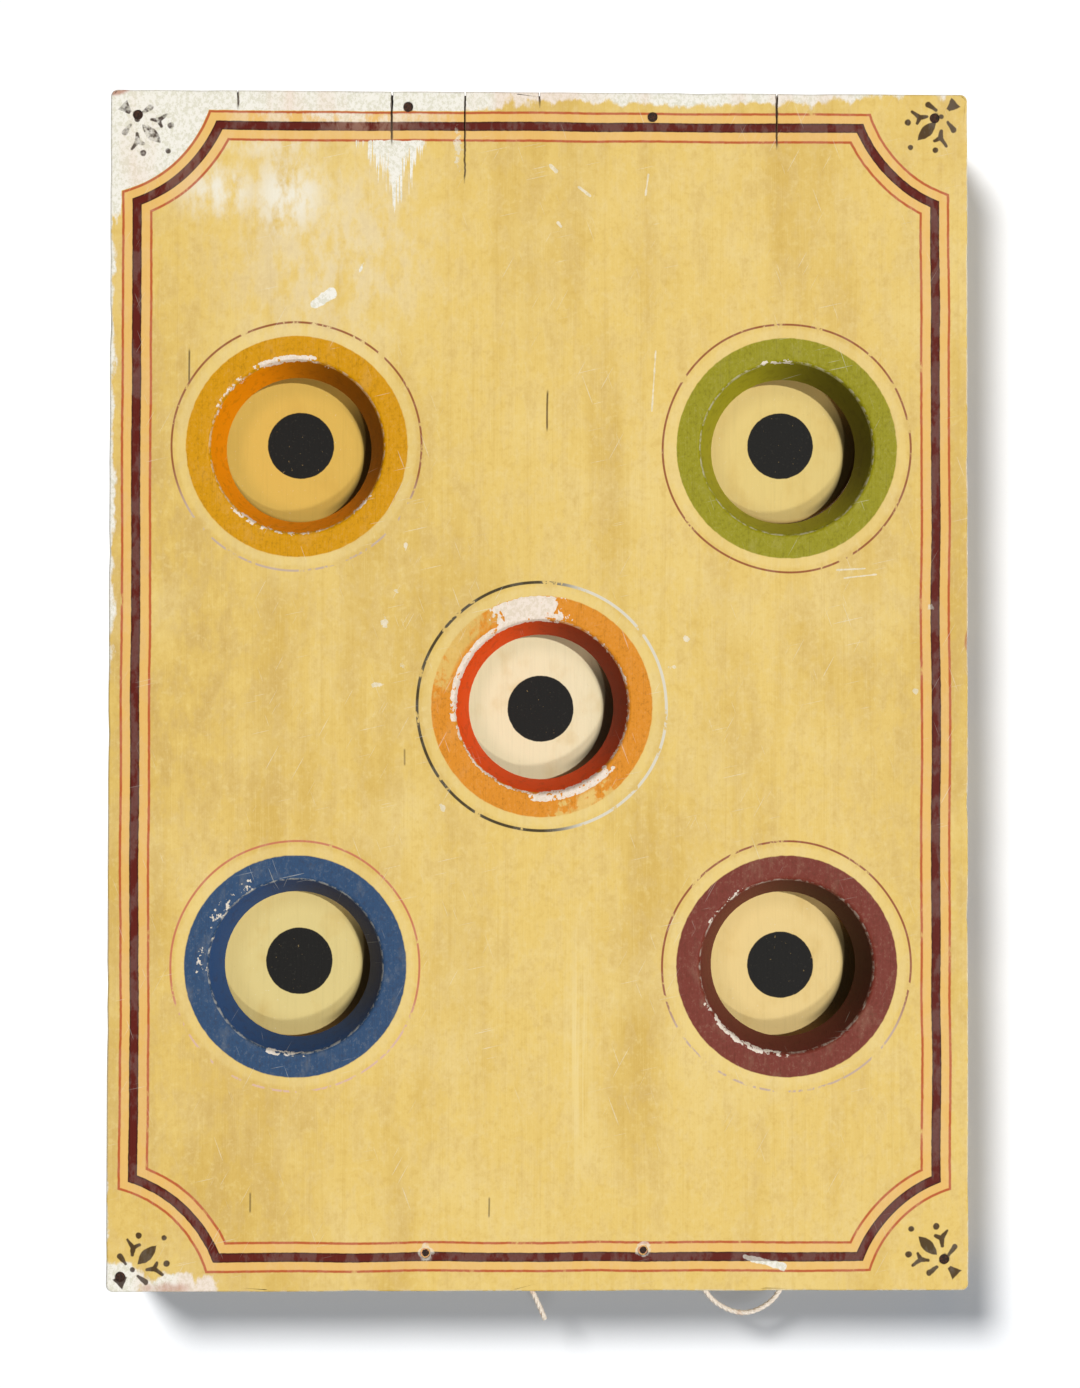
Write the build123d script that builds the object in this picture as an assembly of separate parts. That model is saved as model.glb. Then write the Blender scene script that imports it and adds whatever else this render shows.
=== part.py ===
from build123d import *
import math
import os

# A wall-hung skill game board. Lengths are in millimetres.
# +X is to the right, +Y goes back to the wall and +Z is up.
# The origin is the middle of the back, where the case lies against the wall.

# Front panel: boards edge to edge. Each joint runs beside a column of holes' middles, clear of the brackets
PANEL_WIDTH = 456.0
PANEL_HEIGHT = 636.0
PANEL_THICKNESS = 20.0
PANEL_CORNER_RADIUS = 4.0
PANEL_EDGE_RADIUS = 1.2
BOARD_JOINT_OFFSET = 14.0
BOARD_JOINT_SHARES = (-0.5, 0.0, 0.5)
BOARD_NAMES = ("far_left", "mid_left", "mid_right", "far_right")
SEAM_LEFT_DEG = 180.0

# Tapered holes: four set in from the panel's edges and one in their middle
HOLE_SIDE_MARGIN = 98.0
HOLE_TOP_MARGIN = 189.5
HOLE_BOTTOM_MARGIN = 171.5
HOLE_GROUP_SHIFT = 1.3
HOLE_FRONT_RADIUS = 46.6
HOLE_BACK_RADIUS = 38.5
HOLE_RIM_RADIUS = 2.0
HOLE_BACK_EASE = 0.8

# Each target's column and row, as shares of the spread of the holes, and how far it hangs
# above the middle of its hole, as a share of the hole's back radius
TARGET_SHARES = {
    "upper_left": (-0.5, 0.5, 0.10),
    "upper_right": (0.5, 0.5, 0.12),
    "centre": (0.0, 0.0, -0.02),
    "lower_left": (-0.5, -0.5, 0.01),
    "lower_right": (0.5, -0.5, -0.045),
}
ROW_SHARES = {"upper": 0.5, "middle": 0.0, "lower": -0.5}

# Case behind the panel: rails, sides, and battens with felt that stop the targets
RAIL_HEIGHT = 28.0
SIDE_THICKNESS = 16.0
BATTEN_HEIGHT = 40.0
BATTEN_THICKNESS = 12.0
FELT_HEIGHT = 34.0
FELT_THICKNESS = 3.0
FELT_END_GAP = 1.0

# Target discs, wider than the back of the holes
DISC_RADIUS = 42.0
DISC_THICKNESS = 14.0
DISC_EDGE_RADIUS = 2.0
DISC_BACK_EASE = 1.0
DISC_SETBACK = 14.0

# Iron straps that carry the discs, and the swing that they allow
STRAP_WIDTH = 18.0
STRAP_THICKNESS = 2.0
STRAP_TAIL = 31.0
STRAP_END_RADIUS = 6.0
STRAP_BEND_RADIUS = 2.0
STRAP_BEND_TOP = 5.0
STRAP_BEND_BOTTOM = 19.0
SWING_MAX_DEG = 12.0
SWING_GAP = 0.4

# Pivots: a pin in the ears of a bracket on the back of the panel
PIVOT_RISE = 78.0
PIVOT_SETBACK = 9.0
PIN_RADIUS = 2.0
PIN_HEAD_RADIUS = 4.0
PIN_HEAD_THICKNESS = 2.0
PIN_TAIL_RADIUS = 3.0
PIN_TAIL_THICKNESS = 1.2
PIVOT_CLEARANCE = 0.05
EAR_THICKNESS = 2.0
EAR_RADIUS = 6.0
EAR_GAP = 0.5
BRACKET_THICKNESS = 2.0
BRACKET_TAB = 28.0
BRACKET_SCREW_SHARES = (0.3, 0.74)

# Stops that the straps rest against: a wooden block with a leather pad
STOP_RISE = 46.5
STOP_WIDTH = 24.0
STOP_HEIGHT = 10.0
STOP_PAD_THICKNESS = 3.0
STOP_GAP = 0.3

# Round-head wood screws
SCREW_HEAD_RADIUS = 3.2
SCREW_HEAD_HEIGHT = 1.8
SCREW_HEAD_EASE = 0.8
SCREW_SHANK_RADIUS = 1.75
SCREW_POINT = 3.0
SCREW_SLOT_WIDTH = 0.8
SCREW_SLOT_DEPTH = 0.8
BRACKET_SCREW_LENGTH = 14.0
DISC_SCREW_LENGTH = 11.0
DISC_SCREW_OFFSET = 24.0

# Cut nails with round heads
NAIL_HEAD_RADIUS = 2.6
NAIL_HEAD_THICKNESS = 1.2
NAIL_SHANK_RADIUS = 1.4
NAIL_POINT = 4.0
PANEL_NAIL_LENGTH = 38.0
PANEL_NAIL_SINK = 0.6
RAIL_NAIL_LENGTH = 46.0
BATTEN_NAIL_LENGTH = 34.0
FLUSH_SINK = 0.2

# Panel nails: place along the panel's width, and depth below the edge as a share of the rail
TOP_NAIL_SHARES = ((-0.468, 0.49), (-0.154, 0.31), (0.131, 0.475), (0.461, 0.465))
BOTTOM_NAIL_SHARES = ((-0.483, 0.30), (-0.131, 0.735), (0.121, 0.78), (0.471, 0.60))
RAIL_NAIL_SHARES = (0.42, 0.80)
BATTEN_NAIL_SHARES = (-0.28, 0.28)

# Hanger plates let into the back of the top rail
HANGER_SPACING = 300.0
HANGER_LENGTH = 60.0
HANGER_HEIGHT = 20.0
HANGER_THICKNESS = 2.0
HANGER_CORNER_RADIUS = 3.0
HANGER_HOLE_RADIUS = 5.0
HANGER_POCKET_RADIUS = 8.0
HANGER_POCKET_DEPTH = 25.0
HANGER_SCREW_OFFSET = 21.0
HANGER_SCREW_LENGTH = 16.0
HANGER_SCREW_HEAD_RADIUS = 3.4

# Twine: its ends go up into holes in the underside of the bottom rail
TWINE_DIAMETER = 2.6
TWINE_CLEARANCE = 0.7
TWINE_HOLE_DEPTH = 10.0
TWINE_SETBACK = 14.0
# Route points: right of the middle, behind the twine's line, above the rail's underside
TWINE_LOOP_POINTS = (
    (87.5, 0.0, 10.0),
    (87.5, 0.0, -1.5),
    (96.0, 1.0, -13.5),
    (112.0, 2.0, -20.0),
    (127.0, 1.0, -13.0),
    (134.0, 0.0, -1.0),
    (134.0, 0.0, 10.0),
)
TWINE_TAIL_POINTS = (
    (-5.6, 0.0, 10.0),
    (-5.6, 0.0, -0.8),
    (-0.2, -1.0, -10.8),
    (4.2, -1.6, -21.0),
)
CORNER_RUN_SHARE = 0.45

# One clearance for fasteners in their holes, and one overrun for cuts
FIT_CLEARANCE = 0.05
CUT_OVERRUN = 2.0

# Places that follow from the sizes above. The pivot's own frame runs back and down from its axis.
HOLE_SPREAD_X = PANEL_WIDTH - 2 * HOLE_SIDE_MARGIN
HOLE_SPREAD_Z = PANEL_HEIGHT - HOLE_TOP_MARGIN - HOLE_BOTTOM_MARGIN
HOLE_GROUP_DROP = (HOLE_TOP_MARGIN - HOLE_BOTTOM_MARGIN) / 2
STRAP_FRONT = DISC_SETBACK + DISC_THICKNESS - PIVOT_SETBACK
STRAP_BACK = STRAP_FRONT + STRAP_THICKNESS
SWING_MAX = math.radians(SWING_MAX_DEG)
HIGHEST_RISE = HOLE_BACK_RADIUS * max(shares[2] for shares in TARGET_SHARES.values())
FELT_EDGE_DROP = PIVOT_RISE + HIGHEST_RISE + FELT_HEIGHT / 2 - HOLE_GROUP_DROP
STRAP_REACH = (FELT_EDGE_DROP + STRAP_BACK * math.sin(SWING_MAX)) / math.cos(SWING_MAX)
STRAP_TOUCH = STRAP_BACK * math.cos(SWING_MAX) + STRAP_REACH * math.sin(SWING_MAX)
FELT_SETBACK = PIVOT_SETBACK + STRAP_TOUCH + SWING_GAP
CASE_DEPTH = FELT_SETBACK + FELT_THICKNESS + BATTEN_THICKNESS
PANEL_BACK = -CASE_DEPTH
PANEL_FRONT = PANEL_BACK - PANEL_THICKNESS
PAD_BACK = PANEL_BACK + DISC_SETBACK + DISC_THICKNESS - STOP_GAP
PAD_FRONT = PAD_BACK - STOP_PAD_THICKNESS
HALF_WIDTH = PANEL_WIDTH / 2
HALF_HEIGHT = PANEL_HEIGHT / 2
INNER_WIDTH = PANEL_WIDTH - 2 * SIDE_THICKNESS
EAR_INNER = STRAP_WIDTH / 2 + EAR_GAP
EAR_OUTER = EAR_INNER + EAR_THICKNESS

LOW = (Align.CENTER, Align.CENTER, Align.MIN)
HIGH = (Align.CENTER, Align.CENTER, Align.MAX)


def facing(direction, x, y, z):
    """A frame at a point, whose own +Z looks along the direction and whose +X is level."""
    level = (0, 1, 0) if direction[0] else (1, 0, 0)
    return Plane(origin=(x, y, z), x_dir=level, z_dir=direction)


def block(x_low, x_high, y_low, y_high, z_low, z_high):
    """A plain board between six named planes."""
    size = (x_high - x_low, y_high - y_low, z_high - z_low)
    return Pos(x_low, y_low, z_low) * Box(*size, align=(Align.MIN, Align.MIN, Align.MIN))


def bar_x(radius, x_low, x_high, y, z):
    """A round bar along X."""
    return facing((1, 0, 0), x_low, y, z) * Cylinder(radius, x_high - x_low, align=LOW)


def hole_centre(name):
    column, row, _ = TARGET_SHARES[name]
    return HOLE_GROUP_SHIFT + column * HOLE_SPREAD_X, row * HOLE_SPREAD_Z - HOLE_GROUP_DROP


def target_centre(name):
    x, z = hole_centre(name)
    return x, z + TARGET_SHARES[name][2] * HOLE_BACK_RADIUS


def nail(length):
    """A nail that points down its own -Z, with the top of its head at zero."""
    shank = length - NAIL_HEAD_THICKNESS - NAIL_POINT
    body = Cylinder(NAIL_HEAD_RADIUS, NAIL_HEAD_THICKNESS, align=HIGH)
    body += Pos(0, 0, -NAIL_HEAD_THICKNESS) * Cylinder(NAIL_SHANK_RADIUS, shank, align=HIGH)
    point = Cone(0, NAIL_SHANK_RADIUS, NAIL_POINT, align=HIGH)
    return body + Pos(0, 0, -NAIL_HEAD_THICKNESS - shank) * point


def nail_cut(length):
    """The hole that a nail and its head leave, open above the head."""
    head = Cylinder(NAIL_HEAD_RADIUS + FIT_CLEARANCE, NAIL_HEAD_THICKNESS + CUT_OVERRUN, align=LOW)
    shank = Cylinder(NAIL_SHANK_RADIUS + FIT_CLEARANCE, length, align=HIGH)
    return Pos(0, 0, -NAIL_HEAD_THICKNESS) * head + shank


def screw_shank(length):
    body = Cylinder(SCREW_SHANK_RADIUS, length - SCREW_POINT, align=HIGH)
    return body + Pos(0, 0, SCREW_POINT - length) * Cone(0, SCREW_SHANK_RADIUS, SCREW_POINT, align=HIGH)


def screw_slot(top, head_radius):
    slot = Box(2 * head_radius + CUT_OVERRUN, SCREW_SLOT_WIDTH, 2 * SCREW_SLOT_DEPTH)
    return Pos(0, 0, top) * slot


def round_screw(length):
    """A round-head screw that points down its own -Z, with its head seated at zero."""
    head = Cylinder(SCREW_HEAD_RADIUS, SCREW_HEAD_HEIGHT, align=LOW)
    head = fillet(head.edges().group_by(Axis.Z)[-1], SCREW_HEAD_EASE)
    head -= screw_slot(SCREW_HEAD_HEIGHT, SCREW_HEAD_RADIUS)
    return head + screw_shank(length)


def screw_cut(length):
    return Cylinder(SCREW_SHANK_RADIUS + FIT_CLEARANCE, length, align=HIGH)


def flat_screw():
    """A flat-head screw whose head is flush with a hanger plate."""
    head = Cone(SCREW_SHANK_RADIUS, HANGER_SCREW_HEAD_RADIUS, HANGER_THICKNESS, align=HIGH)
    head -= screw_slot(0, HANGER_SCREW_HEAD_RADIUS)
    return head + Pos(0, 0, -HANGER_THICKNESS) * screw_shank(HANGER_SCREW_LENGTH)


def flat_screw_cut():
    low = SCREW_SHANK_RADIUS + FIT_CLEARANCE
    head = Cone(low, HANGER_SCREW_HEAD_RADIUS + FIT_CLEARANCE, HANGER_THICKNESS, align=HIGH)
    return head + Cylinder(low, HANGER_SCREW_LENGTH + HANGER_THICKNESS, align=HIGH)


# Places of the fasteners, as frames whose +Z looks out of the wood
def panel_nail_places():
    top = [(x, HALF_HEIGHT - RAIL_HEIGHT * drop) for x, drop in TOP_NAIL_SHARES]
    bottom = [(x, RAIL_HEIGHT * rise - HALF_HEIGHT) for x, rise in BOTTOM_NAIL_SHARES]
    front = PANEL_FRONT + PANEL_NAIL_SINK
    return [facing((0, -1, 0), share * PANEL_WIDTH, front, z) for share, z in top + bottom]


def rail_nail_places():
    x = HALF_WIDTH - SIDE_THICKNESS / 2
    z = HALF_HEIGHT - FLUSH_SINK
    depths = [PANEL_BACK + share * CASE_DEPTH for share in RAIL_NAIL_SHARES]
    ends = [(hand * x, y, up) for hand in (-1, 1) for y in depths for up in (-1, 1)]
    return [facing((0, 0, up), side, y, up * z) for side, y, up in ends]


def batten_nail_places():
    x = HALF_WIDTH - SIDE_THICKNESS / 2
    rows = [row * HOLE_SPREAD_Z for row in ROW_SHARES.values()]
    heights = [z + share * BATTEN_HEIGHT for z in rows for share in BATTEN_NAIL_SHARES]
    return [facing((0, 1, 0), hand * x, -FLUSH_SINK, z) for hand in (-1, 1) for z in heights]


def bracket_screw_places(name):
    x, z = target_centre(name)
    foot = z + PIVOT_RISE + EAR_RADIUS
    back = PANEL_BACK + BRACKET_THICKNESS
    return [facing((0, 1, 0), x, back, foot + share * BRACKET_TAB) for share in BRACKET_SCREW_SHARES]


def disc_screw_places(name):
    x, z = target_centre(name)
    back = PANEL_BACK + PIVOT_SETBACK + STRAP_BACK
    return [facing((0, 1, 0), x, back, z + side * DISC_SCREW_OFFSET) for side in (-1, 1)]


def hanger_places():
    z = HALF_HEIGHT - RAIL_HEIGHT / 2
    return [facing((0, 1, 0), side * HANGER_SPACING / 2, 0, z) for side in (-1, 1)]


def hanger_screw_places():
    z = HALF_HEIGHT - RAIL_HEIGHT / 2
    xs = [side * HANGER_SPACING / 2 + end * HANGER_SCREW_OFFSET for side in (-1, 1) for end in (-1, 1)]
    return [facing((0, 1, 0), x, 0, z) for x in xs]


# Panel
def hole_cut(name, seam_deg):
    """A cone that is the hole's size at both faces of the panel, and runs on past them."""
    slope = (HOLE_FRONT_RADIUS - HOLE_BACK_RADIUS) / PANEL_THICKNESS
    front = HOLE_FRONT_RADIUS + slope * CUT_OVERRUN
    back = HOLE_BACK_RADIUS - slope * CUT_OVERRUN
    x, z = hole_centre(name)
    cone = Cone(back, front, PANEL_THICKNESS + 2 * CUT_OVERRUN, align=HIGH)
    return facing((0, -1, 0), x, PANEL_FRONT - CUT_OVERRUN, z) * Rot(0, 0, seam_deg) * cone


def hole_rims(board):
    circles = board.edges().filter_by(GeomType.CIRCLE)
    return circles.filter_by(lambda edge: edge.radius > HOLE_BACK_RADIUS - FIT_CLEARANCE)


def rounded_panel():
    board = block(-HALF_WIDTH, HALF_WIDTH, PANEL_FRONT, PANEL_BACK, -HALF_HEIGHT, HALF_HEIGHT)
    board = fillet(board.edges().filter_by(Axis.Y), PANEL_CORNER_RADIUS)
    return fillet(board.faces().sort_by(Axis.Y)[0].edges(), PANEL_EDGE_RADIUS)


def board_edges():
    """The left edge of each of the panel's boards, and the right edge of the last one."""
    columns = [HOLE_GROUP_SHIFT + share * HOLE_SPREAD_X for share in BOARD_JOINT_SHARES]
    return [-HALF_WIDTH] + [x - BOARD_JOINT_OFFSET for x in columns] + [HALF_WIDTH]


def panel_board(low, high):
    """One board of the panel. The cut of each hole starts on its far side, off the board."""
    board = rounded_panel() & block(low, high, PANEL_FRONT, PANEL_BACK, -HALF_HEIGHT, HALF_HEIGHT)
    for name in TARGET_SHARES:
        board -= hole_cut(name, SEAM_LEFT_DEG if low > hole_centre(name)[0] - HOLE_BACK_RADIUS else 0)
    board = fillet(hole_rims(board).group_by(Axis.Y)[0], HOLE_RIM_RADIUS)
    board = chamfer(hole_rims(board).group_by(Axis.Y)[-1], HOLE_BACK_EASE)
    for place in panel_nail_places():
        board -= place * nail_cut(PANEL_NAIL_LENGTH)
    for name in TARGET_SHARES:
        for place in bracket_screw_places(name):
            board -= place * screw_cut(BRACKET_SCREW_LENGTH)
    return board


# Case
def rail(z_low, z_high):
    board = block(-HALF_WIDTH, HALF_WIDTH, PANEL_BACK, 0, z_low, z_high)
    for place in panel_nail_places():
        board -= place * nail_cut(PANEL_NAIL_LENGTH)
    for place in rail_nail_places():
        board -= place * nail_cut(RAIL_NAIL_LENGTH)
    return board


def hanger_outline(gap):
    """The outline of a hanger plate, or with a gap round it the outline of its recess."""
    return RectangleRounded(HANGER_LENGTH + 2 * gap, HANGER_HEIGHT + 2 * gap, HANGER_CORNER_RADIUS + gap)


def top_rail():
    board = rail(HALF_HEIGHT - RAIL_HEIGHT, HALF_HEIGHT)
    for place in hanger_places():
        board -= place * extrude(hanger_outline(FIT_CLEARANCE), -HANGER_THICKNESS)
        board -= place * Cylinder(HANGER_POCKET_RADIUS, HANGER_POCKET_DEPTH, align=HIGH)
    for place in hanger_screw_places():
        board -= place * flat_screw_cut()
    return board


def twine_ends():
    return [TWINE_LOOP_POINTS[0], TWINE_LOOP_POINTS[-1], TWINE_TAIL_POINTS[0]]


def bottom_rail():
    board = rail(-HALF_HEIGHT, RAIL_HEIGHT - HALF_HEIGHT)
    for x, _, _ in twine_ends():
        hole = Cylinder(TWINE_DIAMETER / 2 + TWINE_CLEARANCE, TWINE_HOLE_DEPTH + CUT_OVERRUN, align=HIGH)
        board -= Pos(x, PANEL_BACK + TWINE_SETBACK, TWINE_HOLE_DEPTH - HALF_HEIGHT) * hole
    return board


def side(hand):
    outer = hand * HALF_WIDTH
    inner = hand * (HALF_WIDTH - SIDE_THICKNESS)
    end = HALF_HEIGHT - RAIL_HEIGHT
    board = block(min(outer, inner), max(outer, inner), PANEL_BACK, 0, -end, end)
    for row in ROW_SHARES.values():
        board -= batten_block(row)
    for place in rail_nail_places():
        board -= place * nail_cut(RAIL_NAIL_LENGTH)
    for place in batten_nail_places():
        board -= place * nail_cut(BATTEN_NAIL_LENGTH)
    return board


def batten_block(row):
    low = row * HOLE_SPREAD_Z - BATTEN_HEIGHT / 2
    return block(-HALF_WIDTH, HALF_WIDTH, -BATTEN_THICKNESS, 0, low, low + BATTEN_HEIGHT)


def batten(row):
    board = batten_block(row)
    for place in batten_nail_places():
        board -= place * nail_cut(BATTEN_NAIL_LENGTH)
    return board


def felt_strip(row):
    half = INNER_WIDTH / 2 - FELT_END_GAP
    low = row * HOLE_SPREAD_Z - FELT_HEIGHT / 2
    front = -BATTEN_THICKNESS - FELT_THICKNESS
    return block(-half, half, front, -BATTEN_THICKNESS, low, low + FELT_HEIGHT)


def hanger_plates():
    plate = extrude(hanger_outline(0), -HANGER_THICKNESS)
    plate -= Cylinder(HANGER_HOLE_RADIUS, 2 * HANGER_THICKNESS + CUT_OVERRUN)
    for end in (-1, 1):
        plate -= Pos(end * HANGER_SCREW_OFFSET, 0, 0) * flat_screw_cut()
    return [place * plate for place in hanger_places()]


# Targets
def target_disc(name):
    disc = Cylinder(DISC_RADIUS, DISC_THICKNESS, align=LOW)
    disc = fillet(disc.edges().group_by(Axis.Z)[-1], DISC_EDGE_RADIUS)
    disc = fillet(disc.edges().group_by(Axis.Z)[0], DISC_BACK_EASE)
    x, z = target_centre(name)
    disc = facing((0, -1, 0), x, PANEL_BACK + DISC_SETBACK + DISC_THICKNESS, z) * disc
    for place in disc_screw_places(name):
        disc -= place * screw_cut(DISC_SCREW_LENGTH)
    return disc


def strap_outline():
    """The bent strap seen along the pin: back of the axis, then above it."""
    inner = PIN_RADIUS + PIVOT_CLEARANCE
    outer = inner + STRAP_THICKNESS
    bend = math.atan2(STRAP_FRONT - inner, STRAP_BEND_BOTTOM - STRAP_BEND_TOP)
    mitre = STRAP_THICKNESS * math.tan(bend / 2)
    foot = -PIVOT_RISE - STRAP_TAIL
    upper_front = (inner, -STRAP_BEND_TOP)
    lower_front = (STRAP_FRONT, -STRAP_BEND_BOTTOM)
    upper_back = (outer, mitre - STRAP_BEND_TOP)
    lower_back = (STRAP_BACK, mitre - STRAP_BEND_BOTTOM)
    front = [(inner, 0), upper_front, lower_front, (STRAP_FRONT, foot)]
    back = [(STRAP_BACK, foot), lower_back, upper_back, (outer, 0)]
    strip = make_face(Polyline(*front, *back, close=True))
    tight = STRAP_BEND_RADIUS
    wide = STRAP_BEND_RADIUS + STRAP_THICKNESS
    bends = {upper_front: wide, upper_back: tight, lower_front: tight, lower_back: wide}
    for corner, radius in bends.items():
        nearest = strip.vertices().sort_by_distance(Vector(*corner))[0]
        strip = fillet(nearest, radius)
    return strip + Circle(outer) - Circle(inner)


def target_strap(name):
    x, z = target_centre(name)
    axis_frame = Plane(
        origin=(x - STRAP_WIDTH / 2, PANEL_BACK + PIVOT_SETBACK, z + PIVOT_RISE),
        x_dir=(0, 1, 0),
        z_dir=(1, 0, 0),
    )
    strap = axis_frame * extrude(strap_outline(), STRAP_WIDTH)
    ends = strap.edges().filter_by(Axis.Y).group_by(Axis.Z)[0]
    strap = fillet(ends, STRAP_END_RADIUS)
    for place in disc_screw_places(name):
        strap -= place * screw_cut(DISC_SCREW_LENGTH)
    return strap


def target_screws(name):
    return [place * round_screw(DISC_SCREW_LENGTH) for place in disc_screw_places(name)]


# Pivots and stops on the back of the panel
def pivot_bracket(name):
    x, z = target_centre(name)
    axis_y = PANEL_BACK + PIVOT_SETBACK
    axis_z = z + PIVOT_RISE
    low = axis_z - EAR_RADIUS
    high = axis_z + EAR_RADIUS
    plate_back = PANEL_BACK + BRACKET_THICKNESS
    bracket = block(x - EAR_OUTER, x + EAR_OUTER, PANEL_BACK, plate_back, low, high + BRACKET_TAB)
    for near, far in ((-EAR_OUTER, -EAR_INNER), (EAR_INNER, EAR_OUTER)):
        bracket += block(x + near, x + far, PANEL_BACK, axis_y, low, high)
        bracket += bar_x(EAR_RADIUS, x + near, x + far, axis_y, axis_z)
    bore = PIN_RADIUS + PIVOT_CLEARANCE
    bracket -= bar_x(bore, x - EAR_OUTER - CUT_OVERRUN, x + EAR_OUTER + CUT_OVERRUN, axis_y, axis_z)
    for place in bracket_screw_places(name):
        bracket -= place * screw_cut(BRACKET_SCREW_LENGTH)
    return bracket


def pivot_pin(name):
    x, z = target_centre(name)
    axis = (PANEL_BACK + PIVOT_SETBACK, z + PIVOT_RISE)
    left = x - EAR_OUTER
    right = x + EAR_OUTER
    pin = bar_x(PIN_RADIUS, left, right, *axis)
    pin += bar_x(PIN_HEAD_RADIUS, left - PIN_HEAD_THICKNESS, left, *axis)
    return pin + bar_x(PIN_TAIL_RADIUS, right, right + PIN_TAIL_THICKNESS, *axis)


def stop_box(name, front, back):
    x, z = target_centre(name)
    low = z + STOP_RISE
    return block(x - STOP_WIDTH / 2, x + STOP_WIDTH / 2, front, back, low, low + STOP_HEIGHT)


# Twine
def corner_radii(points):
    """The radius of each corner's arc, from its shorter run and its turn."""
    places = [Vector(*point) for point in points]
    radii = []
    for before, here, after in zip(places, places[1:], places[2:]):
        shorter = min((here - before).length, (after - here).length)
        turn = math.radians((here - before).get_angle(after - here))
        radii.append(CORNER_RUN_SHARE * shorter / math.tan(turn / 2))
    return radii


def twine(label, points):
    route = [(x, PANEL_BACK + TWINE_SETBACK + y, z - HALF_HEIGHT) for x, y, z in points]
    radii = corner_radii(route)
    path = FilletPolyline(*route, radius=radii)
    section = Plane(origin=path @ 0, z_dir=path % 0) * Circle(TWINE_DIAMETER / 2)
    tube = sweep(section, path=path)
    expected = math.pi * TWINE_DIAMETER ** 2 / 4 * path.length
    print(label, "radii", [round(radius, 1) for radius in radii], "length", round(path.length, 1))
    print(label, "volume", round(tube.volume, 1), "section times length", round(expected, 1))
    return tube


def save(name, shape):
    solids = shape if isinstance(shape, list) else [shape]
    group = solids[0] if len(solids) == 1 else Compound(children=solids)
    export_step(group, f"parts/{name}.step")


os.makedirs("parts", exist_ok=True)
edges = board_edges()
for board_name, left, right in zip(BOARD_NAMES, edges, edges[1:]):
    save(f"panel_board_{board_name}", panel_board(left, right))
save("top_rail", top_rail())
save("bottom_rail", bottom_rail())
save("left_side", side(-1))
save("right_side", side(1))
for row_name, row_share in ROW_SHARES.items():
    save(f"back_batten_{row_name}", batten(row_share))
    save(f"felt_strip_{row_name}", felt_strip(row_share))
for target in TARGET_SHARES:
    save(f"target_disc_{target}", target_disc(target))
    save(f"target_strap_{target}", target_strap(target))
    save(f"target_screws_{target}", target_screws(target))
    save(f"pivot_bracket_{target}", pivot_bracket(target))
    save(f"pivot_pin_{target}", pivot_pin(target))
    save(f"stop_block_{target}", stop_box(target, PANEL_BACK, PAD_FRONT))
save("stop_pads", [stop_box(target, PAD_FRONT, PAD_BACK) for target in TARGET_SHARES])
bracket_places = [place for target in TARGET_SHARES for place in bracket_screw_places(target)]
save("bracket_screws", [place * round_screw(BRACKET_SCREW_LENGTH) for place in bracket_places])
save("panel_nails", [place * nail(PANEL_NAIL_LENGTH) for place in panel_nail_places()])
save("rail_nails", [place * nail(RAIL_NAIL_LENGTH) for place in rail_nail_places()])
save("batten_nails", [place * nail(BATTEN_NAIL_LENGTH) for place in batten_nail_places()])
save("hanger_plates", hanger_plates())
save("hanger_screws", [place * flat_screw() for place in hanger_screw_places()])
save("twine_loop", twine("twine_loop", TWINE_LOOP_POINTS))
save("twine_tail", twine("twine_tail", TWINE_TAIL_POINTS))
print("case depth", round(CASE_DEPTH, 3), "panel front", round(PANEL_FRONT, 3))
for target in TARGET_SHARES:
    x, z = target_centre(target)
    print(target, "pivot", round(x, 3), round(PANEL_BACK + PIVOT_SETBACK, 3), round(z + PIVOT_RISE, 3))
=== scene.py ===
import math
import random
from functools import reduce

import bmesh
import bpy
from bpy.props import FloatProperty, FloatVectorProperty, IntProperty, PointerProperty
from bpy.types import Operator, Panel, PropertyGroup
from mathutils import Euler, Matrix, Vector, noise


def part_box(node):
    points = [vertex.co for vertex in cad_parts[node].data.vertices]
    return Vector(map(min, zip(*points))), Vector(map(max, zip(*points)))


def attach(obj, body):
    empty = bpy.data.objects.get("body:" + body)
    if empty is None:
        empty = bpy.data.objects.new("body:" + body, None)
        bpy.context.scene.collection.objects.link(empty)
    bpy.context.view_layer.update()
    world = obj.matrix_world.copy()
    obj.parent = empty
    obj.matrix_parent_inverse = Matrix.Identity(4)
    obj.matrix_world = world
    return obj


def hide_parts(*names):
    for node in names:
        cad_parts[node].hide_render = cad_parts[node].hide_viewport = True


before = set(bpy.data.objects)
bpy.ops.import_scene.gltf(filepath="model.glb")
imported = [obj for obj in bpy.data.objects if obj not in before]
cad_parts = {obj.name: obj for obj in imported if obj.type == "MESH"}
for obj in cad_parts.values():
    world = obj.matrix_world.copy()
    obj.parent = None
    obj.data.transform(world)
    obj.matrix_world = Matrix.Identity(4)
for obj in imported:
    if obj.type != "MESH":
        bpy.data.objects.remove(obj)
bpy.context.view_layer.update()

bl_info = {
    "name": "Skill game board",
    "version": (1, 0, 0),
    "blender": (4, 5, 0),
    "location": "3D View > Sidebar > Game board",
    "description": "Paints and dresses a wall-hung skill game board with five target holes",
    "category": "Object",
}

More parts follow.
